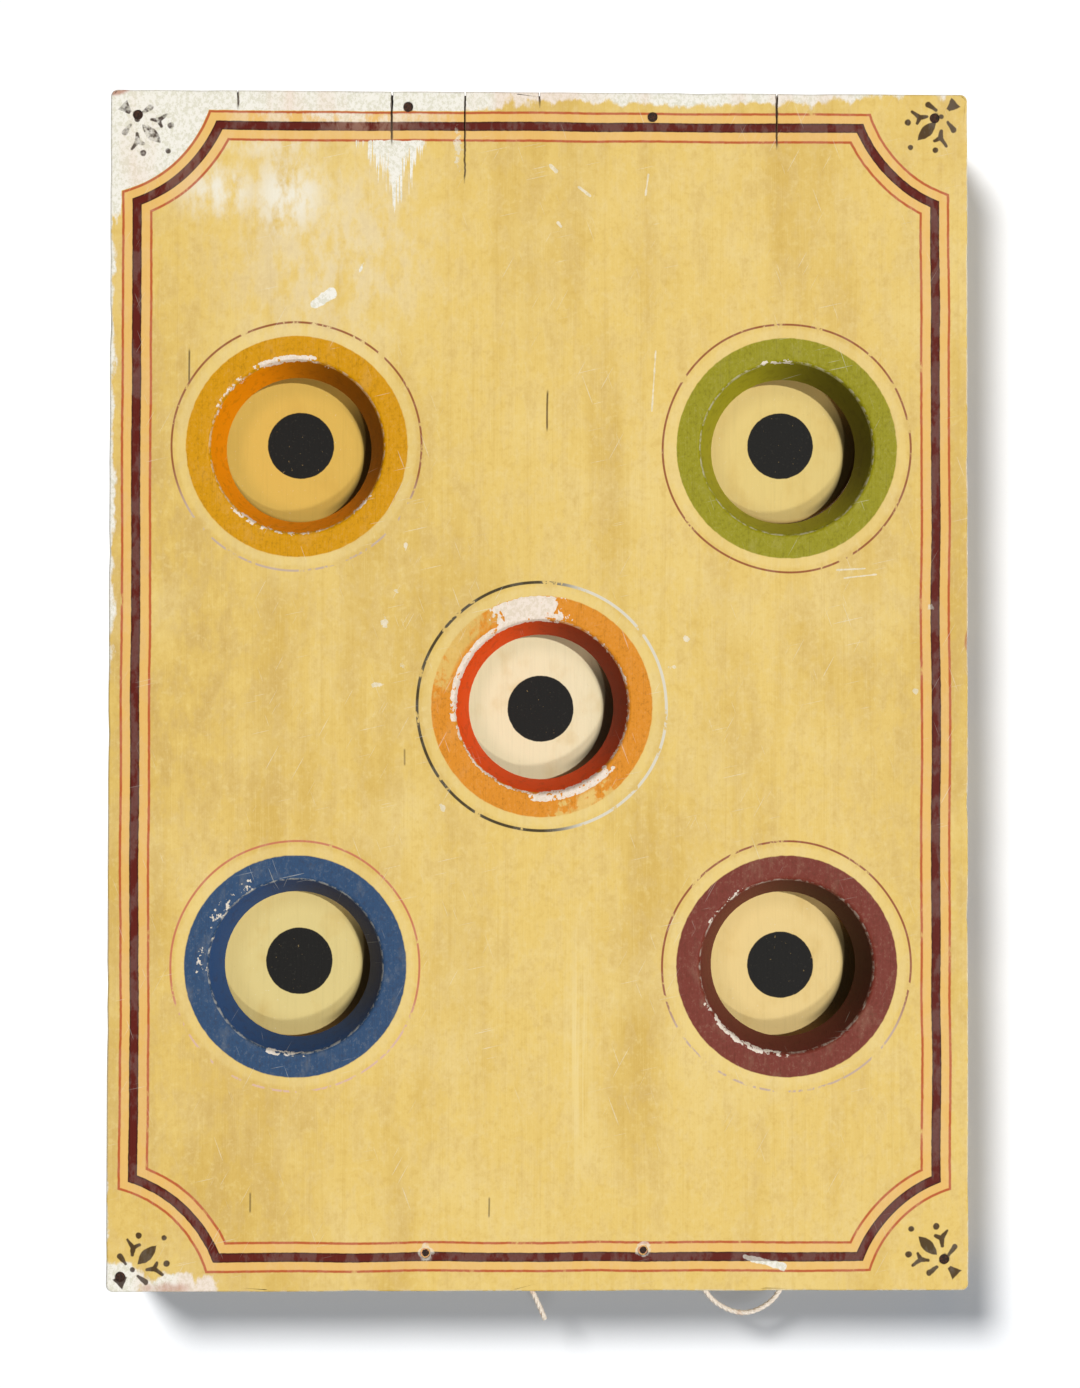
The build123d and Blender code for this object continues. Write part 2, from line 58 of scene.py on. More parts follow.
MM = 0.001
BOARDS = [f"panel_board_{name}" for name in ("far_left", "mid_left", "mid_right", "far_right")]
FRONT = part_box(BOARDS[0])[0].y / MM
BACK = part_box(BOARDS[0])[1].y / MM
HALF_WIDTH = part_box(BOARDS[-1])[1].x / MM
HALF_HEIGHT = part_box(BOARDS[0])[1].z / MM
JOINTS = [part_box(name)[1].x / MM for name in BOARDS[:-1]]
PLACES = ("upper_left", "upper_right", "centre", "lower_left", "lower_right")
ROWS = ("upper", "middle", "lower")
# Middles of the five holes: right of and above the panel's middle, in millimetres
HOLES = {
    "upper_left": (-128.7, 128.5),
    "upper_right": (131.3, 128.5),
    "centre": (1.3, -9.0),
    "lower_left": (-128.7, -146.5),
    "lower_right": (131.3, -146.5),
}


def tone(red, green, blue):
    """A colour as it looks on a screen, 0 to 255, as the linear colour that shaders use."""
    shares = [value / 255 for value in (red, green, blue)]
    return tuple(s / 12.92 if s <= 0.04045 else ((s + 0.055) / 1.055) ** 2.4 for s in shares)


def colour(label, note, red, green, blue):
    return FloatVectorProperty(
        name=label, description=note, subtype="COLOR", size=3, min=0, max=1, default=tone(red, green, blue)
    )


def length(label, note, millimetres):
    return FloatProperty(name=label, description=note, unit="LENGTH", default=millimetres * MM, precision=4)


def angle(label, note, degrees):
    return FloatProperty(name=label, description=note, subtype="ANGLE", default=math.radians(degrees))


def number(label, note, value, unit="NONE"):
    return FloatProperty(name=label, description=note, unit=unit, default=value)


# Settings


class BoardPaint(PropertyGroup):
    ground: colour("Ground", "Cream-yellow paint of the panel", 236, 203, 116)
    ground_pale: colour("Pale ground", "Ground where it has faded", 243, 216, 142)
    ground_deep: colour("Deep ground", "Ochre patches in the ground", 204, 164, 74)
    peach: colour("Peach", "Strips between the band and its fine lines", 241, 188, 108)
    band: colour("Band", "Dark band round the border", 92, 24, 12)
    fine_line: colour("Fine line", "Lines each side of the band", 186, 74, 36)
    stencil: colour("Stencil", "Fan ornament in the corners", 52, 28, 14)
    # Bleached ground, also used for the painted highlight along the hole rims
    primer: colour("Primer", "White undercoat that shows where paint has gone", 250, 246, 234)
    bloom_and_highlight: colour("Bloom", "Bleached ground", 247, 240, 220)
    stain: colour("Stain", "Red-brown tint on bare corners", 178, 100, 58)
    bare_wood: colour("Bare wood", "Wood in splits and checks", 84, 56, 30)
    bullseye: colour("Bullseye", "Black paint of the bullseyes", 26, 25, 23)


class BoardSizes(PropertyGroup):
    ring: length("Ring radius", "Outer edge of the painted rings", 58.6)
    rim: length("Rim radius", "Inner edge of the painted rings", 45.6)
    pinstripe: length("Pinstripe radius", "Broken pinstripe round each ring", 66.0)
    line_width: length("Line width", "Fine lines and pinstripes", 1.3)
    bullseye: length("Bullseye radius", "Black dot on each target", 17.9)
    twine: length("Twine diameter", "Diameter of the twine", 2.6)
    twine_pitch: length("Twine pitch", "Length of one full turn of the strands", 9.0)
    strands: IntProperty(name="Strands", description="Strands in the twine", default=3, min=2, max=6)


class BoardStage(PropertyGroup):
    distance: length("Camera distance", "From the panel's face to the camera", 1500.0)
    offset_x: length("Camera offset", "Right of the panel's middle", -29.84)
    offset_z: length("Camera rise", "Above the panel's middle", -28.93)
    pitch: angle("Pitch", "Camera tilt up", 1.012)
    roll: angle("Roll", "Camera roll", -0.093)
    yaw: angle("Yaw", "Camera turn to the left", -1.151)
    lens: number("Lens", "Focal length in millimetres", 73.469, "CAMERA")
    key: number("Key", "Strength of the main lamp", 2.17)
    fill: number("Fill", "Strength of the low lamp", 0.85)
    ambient: number("Ambient", "Strength of the light from all round", 0.08)
    wall_fill: number("Wall fill", "Strength of the lamp that lightens the wall's shadow", 0.78)
    wall_lamp: number("Wall lamp", "Strength of the lamp that lights the wall alone", 2.9)
    behind_left: number("Behind left", "Strength of the left lamp behind the board", 2.3)
    behind_right: number("Behind right", "Strength of the right lamp behind the board", 1.3)


# Node helpers


class Wire:
    """An output of a node. Sums, products and comparisons of wires add Math nodes."""

    def __init__(self, graph, socket):
        self.graph = graph
        self.socket = socket

    def other(self, name):
        """Another output of the same node."""
        return Wire(self.graph, self.socket.node.outputs[name])

    def math(self, operation, *values):
        inputs = dict(enumerate((self, *values)))
        return self.graph.add("ShaderNodeMath", {"operation": operation}, inputs)

    def reflected(self, operation, value):
        return self.graph.add("ShaderNodeMath", {"operation": operation}, {0: value, 1: self})

    def __add__(self, other):
        return self.math("ADD", other)

    __radd__ = __add__

    def __sub__(self, other):
        return self.math("SUBTRACT", other)

    def __rsub__(self, other):
        return self.reflected("SUBTRACT", other)

    def __mul__(self, other):
        return self.math("MULTIPLY", other)

    __rmul__ = __mul__

    def __truediv__(self, other):
        return self.math("DIVIDE", other)

    def __rtruediv__(self, other):
        return self.reflected("DIVIDE", other)

    def __pow__(self, other):
        return self.math("POWER", other)

    def __abs__(self):
        return self.math("ABSOLUTE")

    def least(self, other):
        return self.math("MINIMUM", other)

    def most(self, other):
        return self.math("MAXIMUM", other)

    def clamp(self):
        return self.most(0.0).least(1.0)

    def rise(self, low, high):
        """A smooth step from 0 at low to 1 at high."""
        settings = {"interpolation_type": "SMOOTHSTEP"}
        inputs = {"Value": self, "From Min": low, "From Max": high}
        return self.graph.add("ShaderNodeMapRange", settings, inputs)

    def fall(self, low, high):
        return self.rise(high, low)

    def within(self, low, high, soft):
        """1 between low and high, with soft edges."""
        return self.rise(low - soft, low + soft) * self.fall(high - soft, high + soft)


class Graph:
    """A node tree of any kind."""

    def __init__(self, tree):
        self.tree = tree
        tree.nodes.clear()

    def add(self, kind, settings=None, inputs=None, output=0):
        """Adds a node: its settings first, then the values or wires of its sockets."""
        node = self.tree.nodes.new(kind)
        for name, value in (settings or {}).items():
            setattr(node, name, value)
        for name, value in (inputs or {}).items():
            if isinstance(value, Wire):
                self.tree.links.new(value.socket, node.inputs[name])
            elif isinstance(value, list):
                for wire in value:
                    self.tree.links.new(wire.socket, node.inputs[name])
            else:
                node.inputs[name].default_value = value
        return Wire(self, node.outputs[output]) if node.outputs else None

    def vector(self, operation, inputs, output=0):
        return self.add("ShaderNodeVectorMath", {"operation": operation}, inputs, output)


class Finish(Graph):
    """A node material, and the shade laid on so far. Patterns read Object coordinates, in millimetres."""

    def __init__(self, name, base):
        self.material = bpy.data.materials.new(name)
        self.material.use_nodes = True
        super().__init__(self.material.node_tree)
        self.shade = base
        place = self.add("ShaderNodeTexCoord", output="Object")
        self.place = self.vector("SCALE", {"Vector": place, "Scale": 1 / MM})
        self.flat = self.vector("MULTIPLY", {0: self.place, 1: (1, 0, 1)})
        self.x = self.add("ShaderNodeSeparateXYZ", None, {0: self.place})
        self.y, self.z = self.x.other("Y"), self.x.other("Z")

    def scaled_place(self, size, shift):
        """The place in lumps. One size does for all three axes."""
        sides = size if isinstance(size, tuple) else (size, size, size)
        factors = tuple(1 / side for side in sides)
        inputs = {0: self.place, 1: factors, 2: (shift, shift * 1.7, shift * 2.3)}
        return self.vector("MULTIPLY_ADD", inputs)

    def noise(self, size, detail=2.0, roughness=0.5, shift=0.0, distortion=0.0):
        """Noise from about 0.25 to 0.75 whose lumps are the given size in millimetres."""
        inputs = {
            "Vector": self.scaled_place(size, shift),
            "Scale": 1.0,
            "Detail": detail,
            "Roughness": roughness,
            "Distortion": distortion,
        }
        return self.add("ShaderNodeTexNoise", None, inputs)

    def cells(self, size, shift):
        """Distance from the middle of the nearest cell, in cell sizes."""
        inputs = {"Vector": self.scaled_place(size, shift), "Scale": 1.0}
        return self.add("ShaderNodeTexVoronoi", None, inputs, "Distance")

    def mix(self, first, second, factor):
        def shade(value):
            return value if isinstance(value, Wire) else (*value, 1)

        inputs = {0: factor, 6: shade(first), 7: shade(second)}
        return self.add("ShaderNodeMix", {"data_type": "RGBA"}, inputs, 2)

    def lay(self, shade, mask):
        """Lays a shade over the last one where the mask is 1."""
        self.shade = self.mix(self.shade, shade, mask)

    def distance(self, x, z):
        """Distance in the panel's plane from a point."""
        return self.vector("DISTANCE", {0: self.flat, 1: (x, 0, z)}, "Value")

    def patch(self, x, z, half_width, half_height):
        """1 in the middle of an oval patch and 0 from its edge outwards."""
        factors, shifts = (1 / half_width, 0, 1 / half_height), (-x / half_width, 0, -z / half_height)
        scaled = self.vector("MULTIPLY_ADD", {0: self.flat, 1: factors, 2: shifts})
        return self.vector("LENGTH", {0: scaled}, "Value").fall(0.1, 1.0)

    def finish(self, roughness, height, specular=0.5, metallic=0.0):
        """Ends the material in one shader. Height is in millimetres."""
        inputs = {
            "Base Color": self.shade,
            "Roughness": roughness,
            "Metallic": metallic,
            "Specular IOR Level": specular,
            "Normal": self.add("ShaderNodeBump", None, {"Height": height, "Distance": MM, "Strength": 1.0}),
        }
        return self.end(self.add("ShaderNodeBsdfPrincipled", None, inputs))

    def end(self, shader):
        self.add("ShaderNodeOutputMaterial", None, {"Surface": shader})
        return self.material


def most_of(wires):
    return reduce(Wire.most, wires)


def least_of(wires):
    return reduce(Wire.least, wires)


# Objects


def dress(nodes, material):
    for name in nodes:
        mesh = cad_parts[name].data
        mesh.materials.clear()
        mesh.materials.append(material)


def new_object(name, data):
    made = bpy.data.objects.new(name, data)
    bpy.context.scene.collection.objects.link(made)
    return made


def evaluated_mesh(piece):
    depsgraph = bpy.context.evaluated_depsgraph_get()
    return bpy.data.meshes.new_from_object(piece.evaluated_get(depsgraph))


def settle(piece):
    """Puts the evaluated mesh in place of the piece's modifiers."""
    mesh, old = evaluated_mesh(piece), piece.data
    piece.modifiers.clear()
    piece.data = mesh
    bpy.data.meshes.remove(old)


# Panel paint

# Border: half sizes of the outer fine line, the shift of its middle, and the scoops that cut its corners
BORDER_HALVES = (219.4, 306.6)
BORDER_SHIFT = (-1.6, -0.3)
SCOOP_MIDDLE = (238.5, 327.5)
SCOOP_RADIUS = 66.5
# From the outer fine line to the inner one and to the middle of the band, and where the corner fans are
INNER_LINE = 14.8
BAND_MIDDLE = 7.25
FAN_MIDDLE = (213.8, 303.8)
# Colours of each hole's ring, wall and pinstripe
RING, WALL, PINSTRIPE = range(3)
RINGS = {
    "upper_left": ((216, 152, 0), (246, 148, 4), (150, 84, 46)),
    "upper_right": ((154, 147, 24), (168, 160, 34), (150, 82, 46)),
    "centre": ((227, 144, 36), (240, 82, 14), (44, 36, 24)),
    "lower_left": ((50, 78, 112), (48, 80, 126), (204, 120, 88)),
    "lower_right": ((122, 54, 42), (112, 52, 42), (150, 78, 50)),
}
# Chips in the rings: the hole, the hour of the clock, half their spread in degrees, from and to which radius,
# and how solid they are
CHIPS = (
    ("upper_left", 11.7, 24, 45.2, 48.6, 0.80),
    ("upper_left", 10.2, 16, 45.2, 48.0, 0.55),
    ("upper_left", 7.1, 9, 45.2, 48.0, 0.75),
    ("upper_left", 6.0, 16, 45.2, 47.2, 0.55),
    ("upper_left", 4.4, 9, 45.2, 47.2, 0.70),
    ("upper_right", 11.8, 10, 45.2, 47.6, 0.70),
    ("centre", 11.75, 24, 47.0, 58.6, 1.05),
    ("centre", 10.5, 62, 45.2, 48.8, 0.95),
    ("centre", 5.3, 30, 45.2, 50.5, 0.90),
    ("centre", 8.0, 70, 45.2, 47.0, 0.60),
    ("centre", 2.8, 60, 45.2, 46.8, 0.50),
    ("lower_left", 10.0, 36, 45.4, 52.5, 0.28),
    ("lower_left", 6.3, 12, 45.2, 47.8, 0.65),
    ("lower_right", 7.0, 34, 45.2, 48.2, 0.72),
    ("lower_right", 10.6, 14, 45.2, 47.8, 0.55),
)
# Wear to the undercoat outside the border: middle, half width, half height and strength, as in every table of
# patches here
OUTER_WEAR = (
    (-206, 300, 84, 74, 1.6),
    (-110, 322, 150, 36, 1.6),
    (80, 322, 200, 16, 1.2),
    (-234, 150, 13, 300, 1.2),
    (-222, -312, 20, 16, 1.2),
    (-190, -316, 36, 14, 0.8),
    (-232, -280, 9, 56, 0.9),
    (231, 0, 5, 330, 0.7),
    (0, -322, 240, 7, 0.6),
)
# The white run below the band: its middle, foot and head
RUN_MIDDLE, RUN_FOOT, RUN_HEAD = -77, 262, 292.5
# Small worn spots inside the border
INNER_WEAR = (
    (-44, 287, 3.5, 16, 0.7),
    (-82, 35, 2.8, 5.5, 0.8),
    (-85, 2, 7, 2.2, 0.7),
    (-76, 52, 4, 2.6, 0.7),
    (-51, -63, 2.6, 4.2, 0.75),
    (208, 44, 3, 3, 0.7),
    (78, 27, 3, 3, 0.7),
    (71, 12, 5, 2.5, 0.6),
    (200, -0.5, 2.6, 3, 0.95),
    (-72, 12.7, 4, 2.2, 0.7),
    (-71, 76, 2, 5, 0.8),
)
# Knocks down to the undercoat: ends, and the half width at each
KNOCKS = (
    ((-119.5, 204.0), (-110.8, 209.8), 2.6, 3.0),
    ((109.5, -299.8), (129.5, -305.2), 1.2, 1.9),
    ((-96, 221), (-93.5, 226), 0.4, 0.5),
)
# Thin pale scratches: ends and half width
SCRATCHES = (
    ((5.5, 278.5), (8.5, 275.5), 0.9),
    ((20.5, 267.0), (26.5, 262.5), 0.6),
    ((57.5, 274.0), (56.0, 263.0), 0.4),
    ((9.5, 248.0), (11.0, 246.0), 0.7),
    ((61.5, 180.0), (59.5, 148.0), 0.35),
    ((158.0, 63.8), (173.0, 64.6), 0.35),
    ((162.0, 59.5), (179.0, 61.5), 0.3),
)
# Whitish bloom, darker ground, and red-brown stains
BLOOM = (
    (-134, 262, 32, 36, 1.0),
    (-170, 264, 32, 24, 0.95),
    (-112, 236, 84, 84, 0.34),
    (-142, 288, 44, 12, 0.6),
)
DARKER = (
    (-186, -226, 120, 150, 0.55),
    (-202, 40, 92, 290, 0.80),
    (208, 20, 70, 260, 0.42),
    (-40, 60, 60, 90, 0.2),
    (48, -215, 20, 60, 0.4),
)
STAINS = (
    (-226, 319, 17, 7, 1.0),
    (-196, -316, 30, 7, 0.55),
    (228, 26, 3.5, 10, 1.0),
    (-60, 319.4, 200, 3.4, 0.95),
)
# Middles of the nails through the face
NAILS = (
    (-213.4, 304.3), (-70.2, 309.3), (59.7, 304.7), (210.2, 305.0),
    (-220.2, -309.6), (-59.7, -297.4), (55.2, -296.2), (214.8, -301.2),
)
# Splits down from the top edge: place, run and half width
SPLITS = ((-78.9, 29.3, 0.5), (-40.1, 49.6, 0.34), (125.9, 30.5, 0.5), (-160.5, 11.4, 0.4), (-0.5, 8.9, 0.35))
# Checks in the paint: middle and half length
CHECKS = ((4.2, 148, 12), (-71.5, -36, 5), (-152.6, -270.8, 6), (-26.5, -273.5, 6), (-186, 171, 10))


def border_distance(x, z):
    """How far inside the outer fine line a point is: a rectangle with scooped corners."""
    sides = BORDER_HALVES[0] - abs(x - BORDER_SHIFT[0])
    ends = BORDER_HALVES[1] - abs(z - BORDER_SHIFT[1])
    scoop = ((abs(x) - SCOOP_MIDDLE[0]) ** 2 + (abs(z) - SCOOP_MIDDLE[1]) ** 2) ** 0.5 - SCOOP_RADIUS
    return least_of([sides, ends, scoop])


def capsule(s, t, start, end, start_radius, end_radius):
    """Distance to a tapered stroke."""
    run_s, run_t = end[0] - start[0], end[1] - start[1]
    size = run_s ** 2 + run_t ** 2
    from_s, from_t = s - start[0], t - start[1]
    share = ((from_s * run_s + from_t * run_t) / size).clamp()
    away = ((from_s - share * run_s) ** 2 + (from_t - share * run_t) ** 2) ** 0.5
    return away - share * (end_radius - start_radius) - start_radius


def fan_distance(g):
    """Distance to the fan stencil, the same in all four corners: a leaf, branches, strokes and dots."""
    hand = g.x.math("SIGN") * g.z.math("SIGN")
    inward = FAN_MIDDLE[0] - abs(g.x)
    upward = FAN_MIDDLE[1] + hand * 2.0 - abs(g.z)
    s = (inward + upward) * math.sqrt(0.5)
    t = abs(inward - upward) * math.sqrt(0.5)
    along = (s - 10.8) / 6.6
    return least_of([
        t + along ** 2 * 2.7 - 2.7,
        (t + s * 0.42 + 1.4).most(s + 5.3).most(-10.8 - s),
        capsule(s, t, (5.4, 5.4), (8.4, 7.8), 0.6, 1.2),
        capsule(s, t, (8.4, 7.8), (9.2, 13.0), 1.1, 0.45),
        capsule(s, t, (8.4, 7.8), (11.6, 6.6), 1.1, 0.6),
        capsule(s, t, (-0.4, 4.6), (0.3, 9.6), 0.55, 1.3),
        (s ** 2 + t ** 2) ** 0.5 - 1.1,
        ((s - 23.4) ** 2 + t ** 2) ** 0.5 - 1.15,
        ((s - 14.9) ** 2 + (t - 10.4) ** 2) ** 0.5 - 1.4,
    ])


class HolePlan:
    """Where a point lies from the nearest of the five holes, which are folded on to one another."""

    def __init__(self, g, jitter):
        self.g = g
        self.jitter = jitter
        (middle_x, middle_z), (corner_x, corner_z) = HOLES["centre"], HOLES["upper_right"]
        reach_x, reach_z = corner_x - middle_x, corner_z - middle_z
        across, up = g.x - middle_x, g.z - middle_z
        self.right = across.rise(-0.5, 0.5)
        self.top = up.rise(-0.5, 0.5)
        from_middle = g.distance(middle_x, middle_z)
        from_corner = ((abs(across) - reach_x) ** 2 + (abs(up) - reach_z) ** 2) ** 0.5
        self.middle = (from_corner - from_middle).rise(-0.5, 0.5)
        self.away = from_middle.least(from_corner)
        self.x = across - (self.right * 2 - 1) * (1 - self.middle) * reach_x
        self.z = up - (self.top * 2 - 1) * (1 - self.middle) * reach_z

    def colour(self, part):
        rows = []
        for row in ("lower", "upper"):
            left, right = (tone(*RINGS[f"{row}_{side}"][part]) for side in ("left", "right"))
            rows.append(self.g.mix(left, right, self.right))
        return self.g.mix(self.g.mix(*rows, self.top), tone(*RINGS["centre"][part]), self.middle)

    def mask(self, hole):
        if hole == "centre":
            return self.middle
        row = self.top if "upper" in hole else 1 - self.top
        side = self.right if "right" in hole else 1 - self.right
        return row * side * (1 - self.middle)

    def sector(self, hour, half):
        """1 toward an hour of the clock, 0 from half the spread away."""
        bearing = math.radians(hour * 30)
        toward = (self.x * math.sin(bearing) + self.z * math.cos(bearing)) / self.away
        toward = toward + self.jitter * math.sin(math.radians(half))
        return toward.rise(math.cos(math.radians(half)), math.cos(math.radians(half * 0.6)))


class PanelFinish(Finish):
    """The panel's finish, with the noises that its layers share."""

    def __init__(self, base):
        super().__init__("painted_panel", base)
        self.depth = self.y - FRONT
        self.face = self.depth.fall(0.8, 1.6)
        self.sway = self.noise(70, 1.0) - 0.5
        self.lean = self.noise(64, 1.0, shift=7.3) - 0.5
        self.bristle = self.noise(3.2, 1.0, shift=3.1) - 0.5
        self.brush = self.noise((2.6, 40, 120), 2.0, 0.6, shift=1.0)
        self.fine_brush = self.noise((0.7, 10, 34), 1.0, 0.6, shift=5.0)
        self.mottle = self.noise((34, 46, 190), 3.0, 0.62, shift=2.0)
        self.speck = self.noise((1.6, 1.6, 2.0), 2.0, 0.7, shift=4.0)
        self.flake = self.noise(4.2, 2.0, 0.65, shift=17.0)
        self.ragged = self.noise((10, 10, 20), 4.0, 0.66, shift=21.0)

    def worn_at(self, patches):
        return most_of([self.patch(*oval) * strength for *oval, strength in patches])

    def crumbled(self, mask, flakes, specks, low, high):
        """A soft mask broken up into crumbs."""
        crumbs = mask + (self.flake - 0.5) * flakes + (self.speck - 0.5) * specks
        return crumbs.rise(low, high) * mask.rise(0.0, 0.1)


def panel_finish(paint, sizes):
    """The panel's layers, in the order in which they were painted and then worn."""
    g = PanelFinish(paint.ground)
    lay_ground(g, paint)
    inside, band = lay_border(g, paint, sizes)
    ring, chips = lay_rings(g, paint, sizes)
    primer, bare = lay_wear(g, paint, inside, band, chips)
    lay_fans(g, paint)
    lay_nails(g, primer)
    lay_cracks(g, paint)
    lay_edges(g, primer, ring)
    height = g.brush * 0.08 + g.fine_brush * 0.05 + g.flake * 0.03 + g.speck * 0.02
    roughness = 0.50 + bare * 0.2 + g.speck * 0.12 - ring * 0.06
    return g.finish(roughness, height, specular=0.10)


def lay_ground(g, paint):
    """Ground: brushed up and down, mottled, bleached in places and dirty towards the left."""
    deep, pale = paint.ground_deep, paint.ground_pale
    g.lay(deep, g.mottle.rise(0.44, 0.72) * 0.50)
    g.lay(deep, g.worn_at(DARKER) * g.ragged.rise(0.22, 0.72))
    g.lay(pale, (g.lean + 0.5).rise(0.48, 0.74) * 0.45)
    g.lay(deep, g.brush.rise(0.52, 0.76) * 0.20)
    g.lay(pale, g.fine_brush.rise(0.54, 0.78) * 0.26)
    g.lay(deep, g.ragged.rise(0.52, 0.70) * 0.26)
    g.lay(deep, g.flake.rise(0.52, 0.72) * 0.22)
    g.lay(pale, g.flake.fall(0.28, 0.46) * 0.32)
    g.lay(deep, g.speck.rise(0.54, 0.72) * 0.15)
    g.lay(pale, g.speck.fall(0.28, 0.44) * 0.18)
    g.lay(pale, g.patch(21, -192, 12, 100) * g.brush.rise(0.36, 0.60) * 0.9)
    g.lay(paint.bloom_and_highlight, g.worn_at(BLOOM) * g.ragged.rise(0.30, 0.62))


def lay_border(g, paint, sizes):
    """Border: fine line, band, fine line, with peach between."""
    inside = border_distance(g.x + g.sway * 2.0 + g.bristle * 0.4, g.z + g.lean * 2.0 + g.bristle * 0.4)
    g.lay(paint.peach, inside.within(0.0, INNER_LINE, 0.4) * 0.7)
    half_line = sizes.line_width / MM / 2
    lines = abs(abs(inside - INNER_LINE / 2) - INNER_LINE / 2).fall(half_line - 0.3, half_line + 0.3)
    g.lay(paint.fine_line, lines * g.ragged.fall(0.60, 0.74) * g.face * 0.9)
    from_band = abs(inside - BAND_MIDDLE)
    band = from_band.fall(2.25, 2.65) * g.face
    rubbed = g.patch(-92, 308, 34, 26) + g.patch(-205, 296, 44, 44) * 0.7
    pale = g.flake.rise(0.60, 0.76) * 0.08 + rubbed * g.ragged.rise(0.38, 0.56) * 0.7
    shade = g.mix(paint.band, tone(40, 15, 8), from_band.rise(1.2, 2.4) * 0.8)
    g.lay(g.mix(shade, tone(168, 122, 98), pale), band)
    return inside, band


def lay_rings(g, paint, sizes):
    """Pinstripes, rings and hole walls."""
    plan = HolePlan(g, (g.ragged + g.flake - 1) * 0.5)
    away = plan.away
    ring_radius, rim_radius, stripe_radius = sizes.ring / MM, sizes.rim / MM, sizes.pinstripe / MM
    brushed = away + g.bristle * 0.6
    g.lay(paint.ground_pale, brushed.within(ring_radius, stripe_radius - 2.5, 1.2) * 0.4)

    half_stripe = plan.middle * 0.22 + sizes.line_width / MM / 4
    stripe = (abs(away + g.sway * 2.4 - stripe_radius) - half_stripe).fall(0.0, 0.45)
    low_side = (1 - plan.mask("upper_right")) * (1 - plan.middle) * plan.z.fall(-36, -12)
    pale_side = (plan.middle * plan.x.rise(2, 26)).most(low_side * 0.55)
    left = (g.ragged * 0.7 + g.flake * 0.3 + low_side * 0.07).fall(0.55, 0.60)
    g.lay(g.mix(plan.colour(PINSTRIPE), paint.bloom_and_highlight, pale_side * 0.8), stripe * left * 0.95)

    darker, paler = tone(60, 40, 14), tone(250, 236, 190)
    dirt = g.speck.rise(0.50, 0.72) * 0.22 + g.fine_brush.fall(0.30, 0.46) * 0.12
    rubbed = g.ragged.rise(0.52, 0.74) * 0.06 + g.speck.fall(0.28, 0.46) * 0.05
    ring_shade = g.mix(g.mix(plan.colour(RING), darker, dirt), paler, rubbed)
    wall_shade = g.mix(plan.colour(WALL), darker, g.flake.rise(0.50, 0.70) * 0.18)
    # Darker at the upper right, where the rim shades the wall
    lee = (plan.x * 0.87 + plan.z * 0.48) / away
    wall_shade = g.mix(wall_shade, tone(34, 14, 4), lee.rise(-0.1, 0.95) * 0.68)
    coat = g.mix(ring_shade, wall_shade, away.fall(rim_radius - 0.2, rim_radius + 0.2))
    ring = brushed.fall(ring_radius - 0.35, ring_radius + 0.35)
    gone = (plan.sector(10.3, 30) * away.rise(49, 52)).most(plan.sector(5.2, 16) * away.rise(49.5, 52.5))
    gone = plan.middle * gone * g.ragged.rise(0.34, 0.48)
    g.lay(coat, ring * (1 - gone * 0.8))
    # Painted highlight along the rounded rim, mixed with rubbed paint: a broken pale line
    rim_highlight_and_wear = (away + g.bristle * 0.4).within(rim_radius + 0.1, rim_radius + 1.0, 0.3)
    g.lay(paint.bloom_and_highlight, rim_highlight_and_wear * g.flake.rise(0.42, 0.62) * 0.42)

    chips = []
    for hole, hour, half, low, high, solid in CHIPS:
        zone = plan.mask(hole) * plan.sector(hour, half) * away.within(low, high, 0.7)
        chips.append(zone * solid)
    return ring, g.crumbled(most_of(chips), 1.8, 1.4, 0.50, 0.66)


def lay_wear(g, paint, inside, band, chips):
    """Wear to the undercoat, tinted where the wood shows through."""
    outside = inside.fall(-1.4, -0.5)
    streaks = (g.brush + g.fine_brush - 1) * 26
    run = ((g.z - RUN_FOOT) * 0.57 - abs(g.x - RUN_MIDDLE) + streaks).rise(-6, 8)
    worn = (g.worn_at(OUTER_WEAR) * outside).most(run * g.z.fall(RUN_HEAD - 2.5, RUN_HEAD) * 0.85)
    worn = (worn * 0.8 + (g.ragged - 0.5) * 1.2).rise(0.22, 0.42) * worn.rise(0.0, 0.08)
    spots = g.crumbled(g.worn_at(INNER_WEAR), 1.6, 1.2, 0.36, 0.60)
    knocks = least_of([capsule(g.x, g.z, *knock) for knock in KNOCKS])
    knocks = (knocks + g.bristle * 2.4).fall(-0.3, 0.3)
    scraped = least_of([capsule(g.x, g.z, start, end, half, half) for start, end, half in SCRATCHES])
    scraped = (scraped + g.bristle * 0.9).fall(-0.2, 0.3)
    bare = most_of([worn, knocks, scraped * 0.6, spots * 0.6, scratches(g, g.mottle) * 0.3, chips * 0.95])
    primer = g.mix(paint.primer, tone(226, 222, 200), g.speck.rise(0.42, 0.62) * 0.8)
    primer = g.mix(primer, tone(244, 208, 184), g.mottle.rise(0.46, 0.66) * outside * 0.4 + chips * 0.3)
    g.lay(primer, bare * (1 - band * 0.5))
    wash = inside.within(0.4, 5.0, 0.4) * g.patch(-104, 312, 86, 30) * g.ragged.rise(0.36, 0.52)
    g.lay(primer, wash * 0.8)
    tint = g.worn_at(STAINS)
    tint = (tint + (g.ragged - 0.5) * 0.9).rise(0.25, 0.75) * tint.rise(0.0, 0.1)
    g.lay(paint.stain, tint * (0.35 + g.face * 0.4))
    return primer, bare


def lay_fans(g, paint):
    """Corner fans, over what wear has left."""
    faded = g.patch(-208, 300, 40, 40) * g.flake.rise(0.40, 0.62)
    fans = (fan_distance(g) + g.bristle * 0.9).fall(-0.05, 0.60) * g.face
    g.lay(paint.stencil, fans * (1 - faded * 0.8) * 0.94)


def nail_distance(g):
    return least_of([g.distance(*nail) for nail in NAILS])


def low_nails(g):
    """1 round the two nails in the bottom's middle, whose rims are paler than the others'."""
    return g.z.fall(-262, -250) * abs(g.x).fall(90, 120)


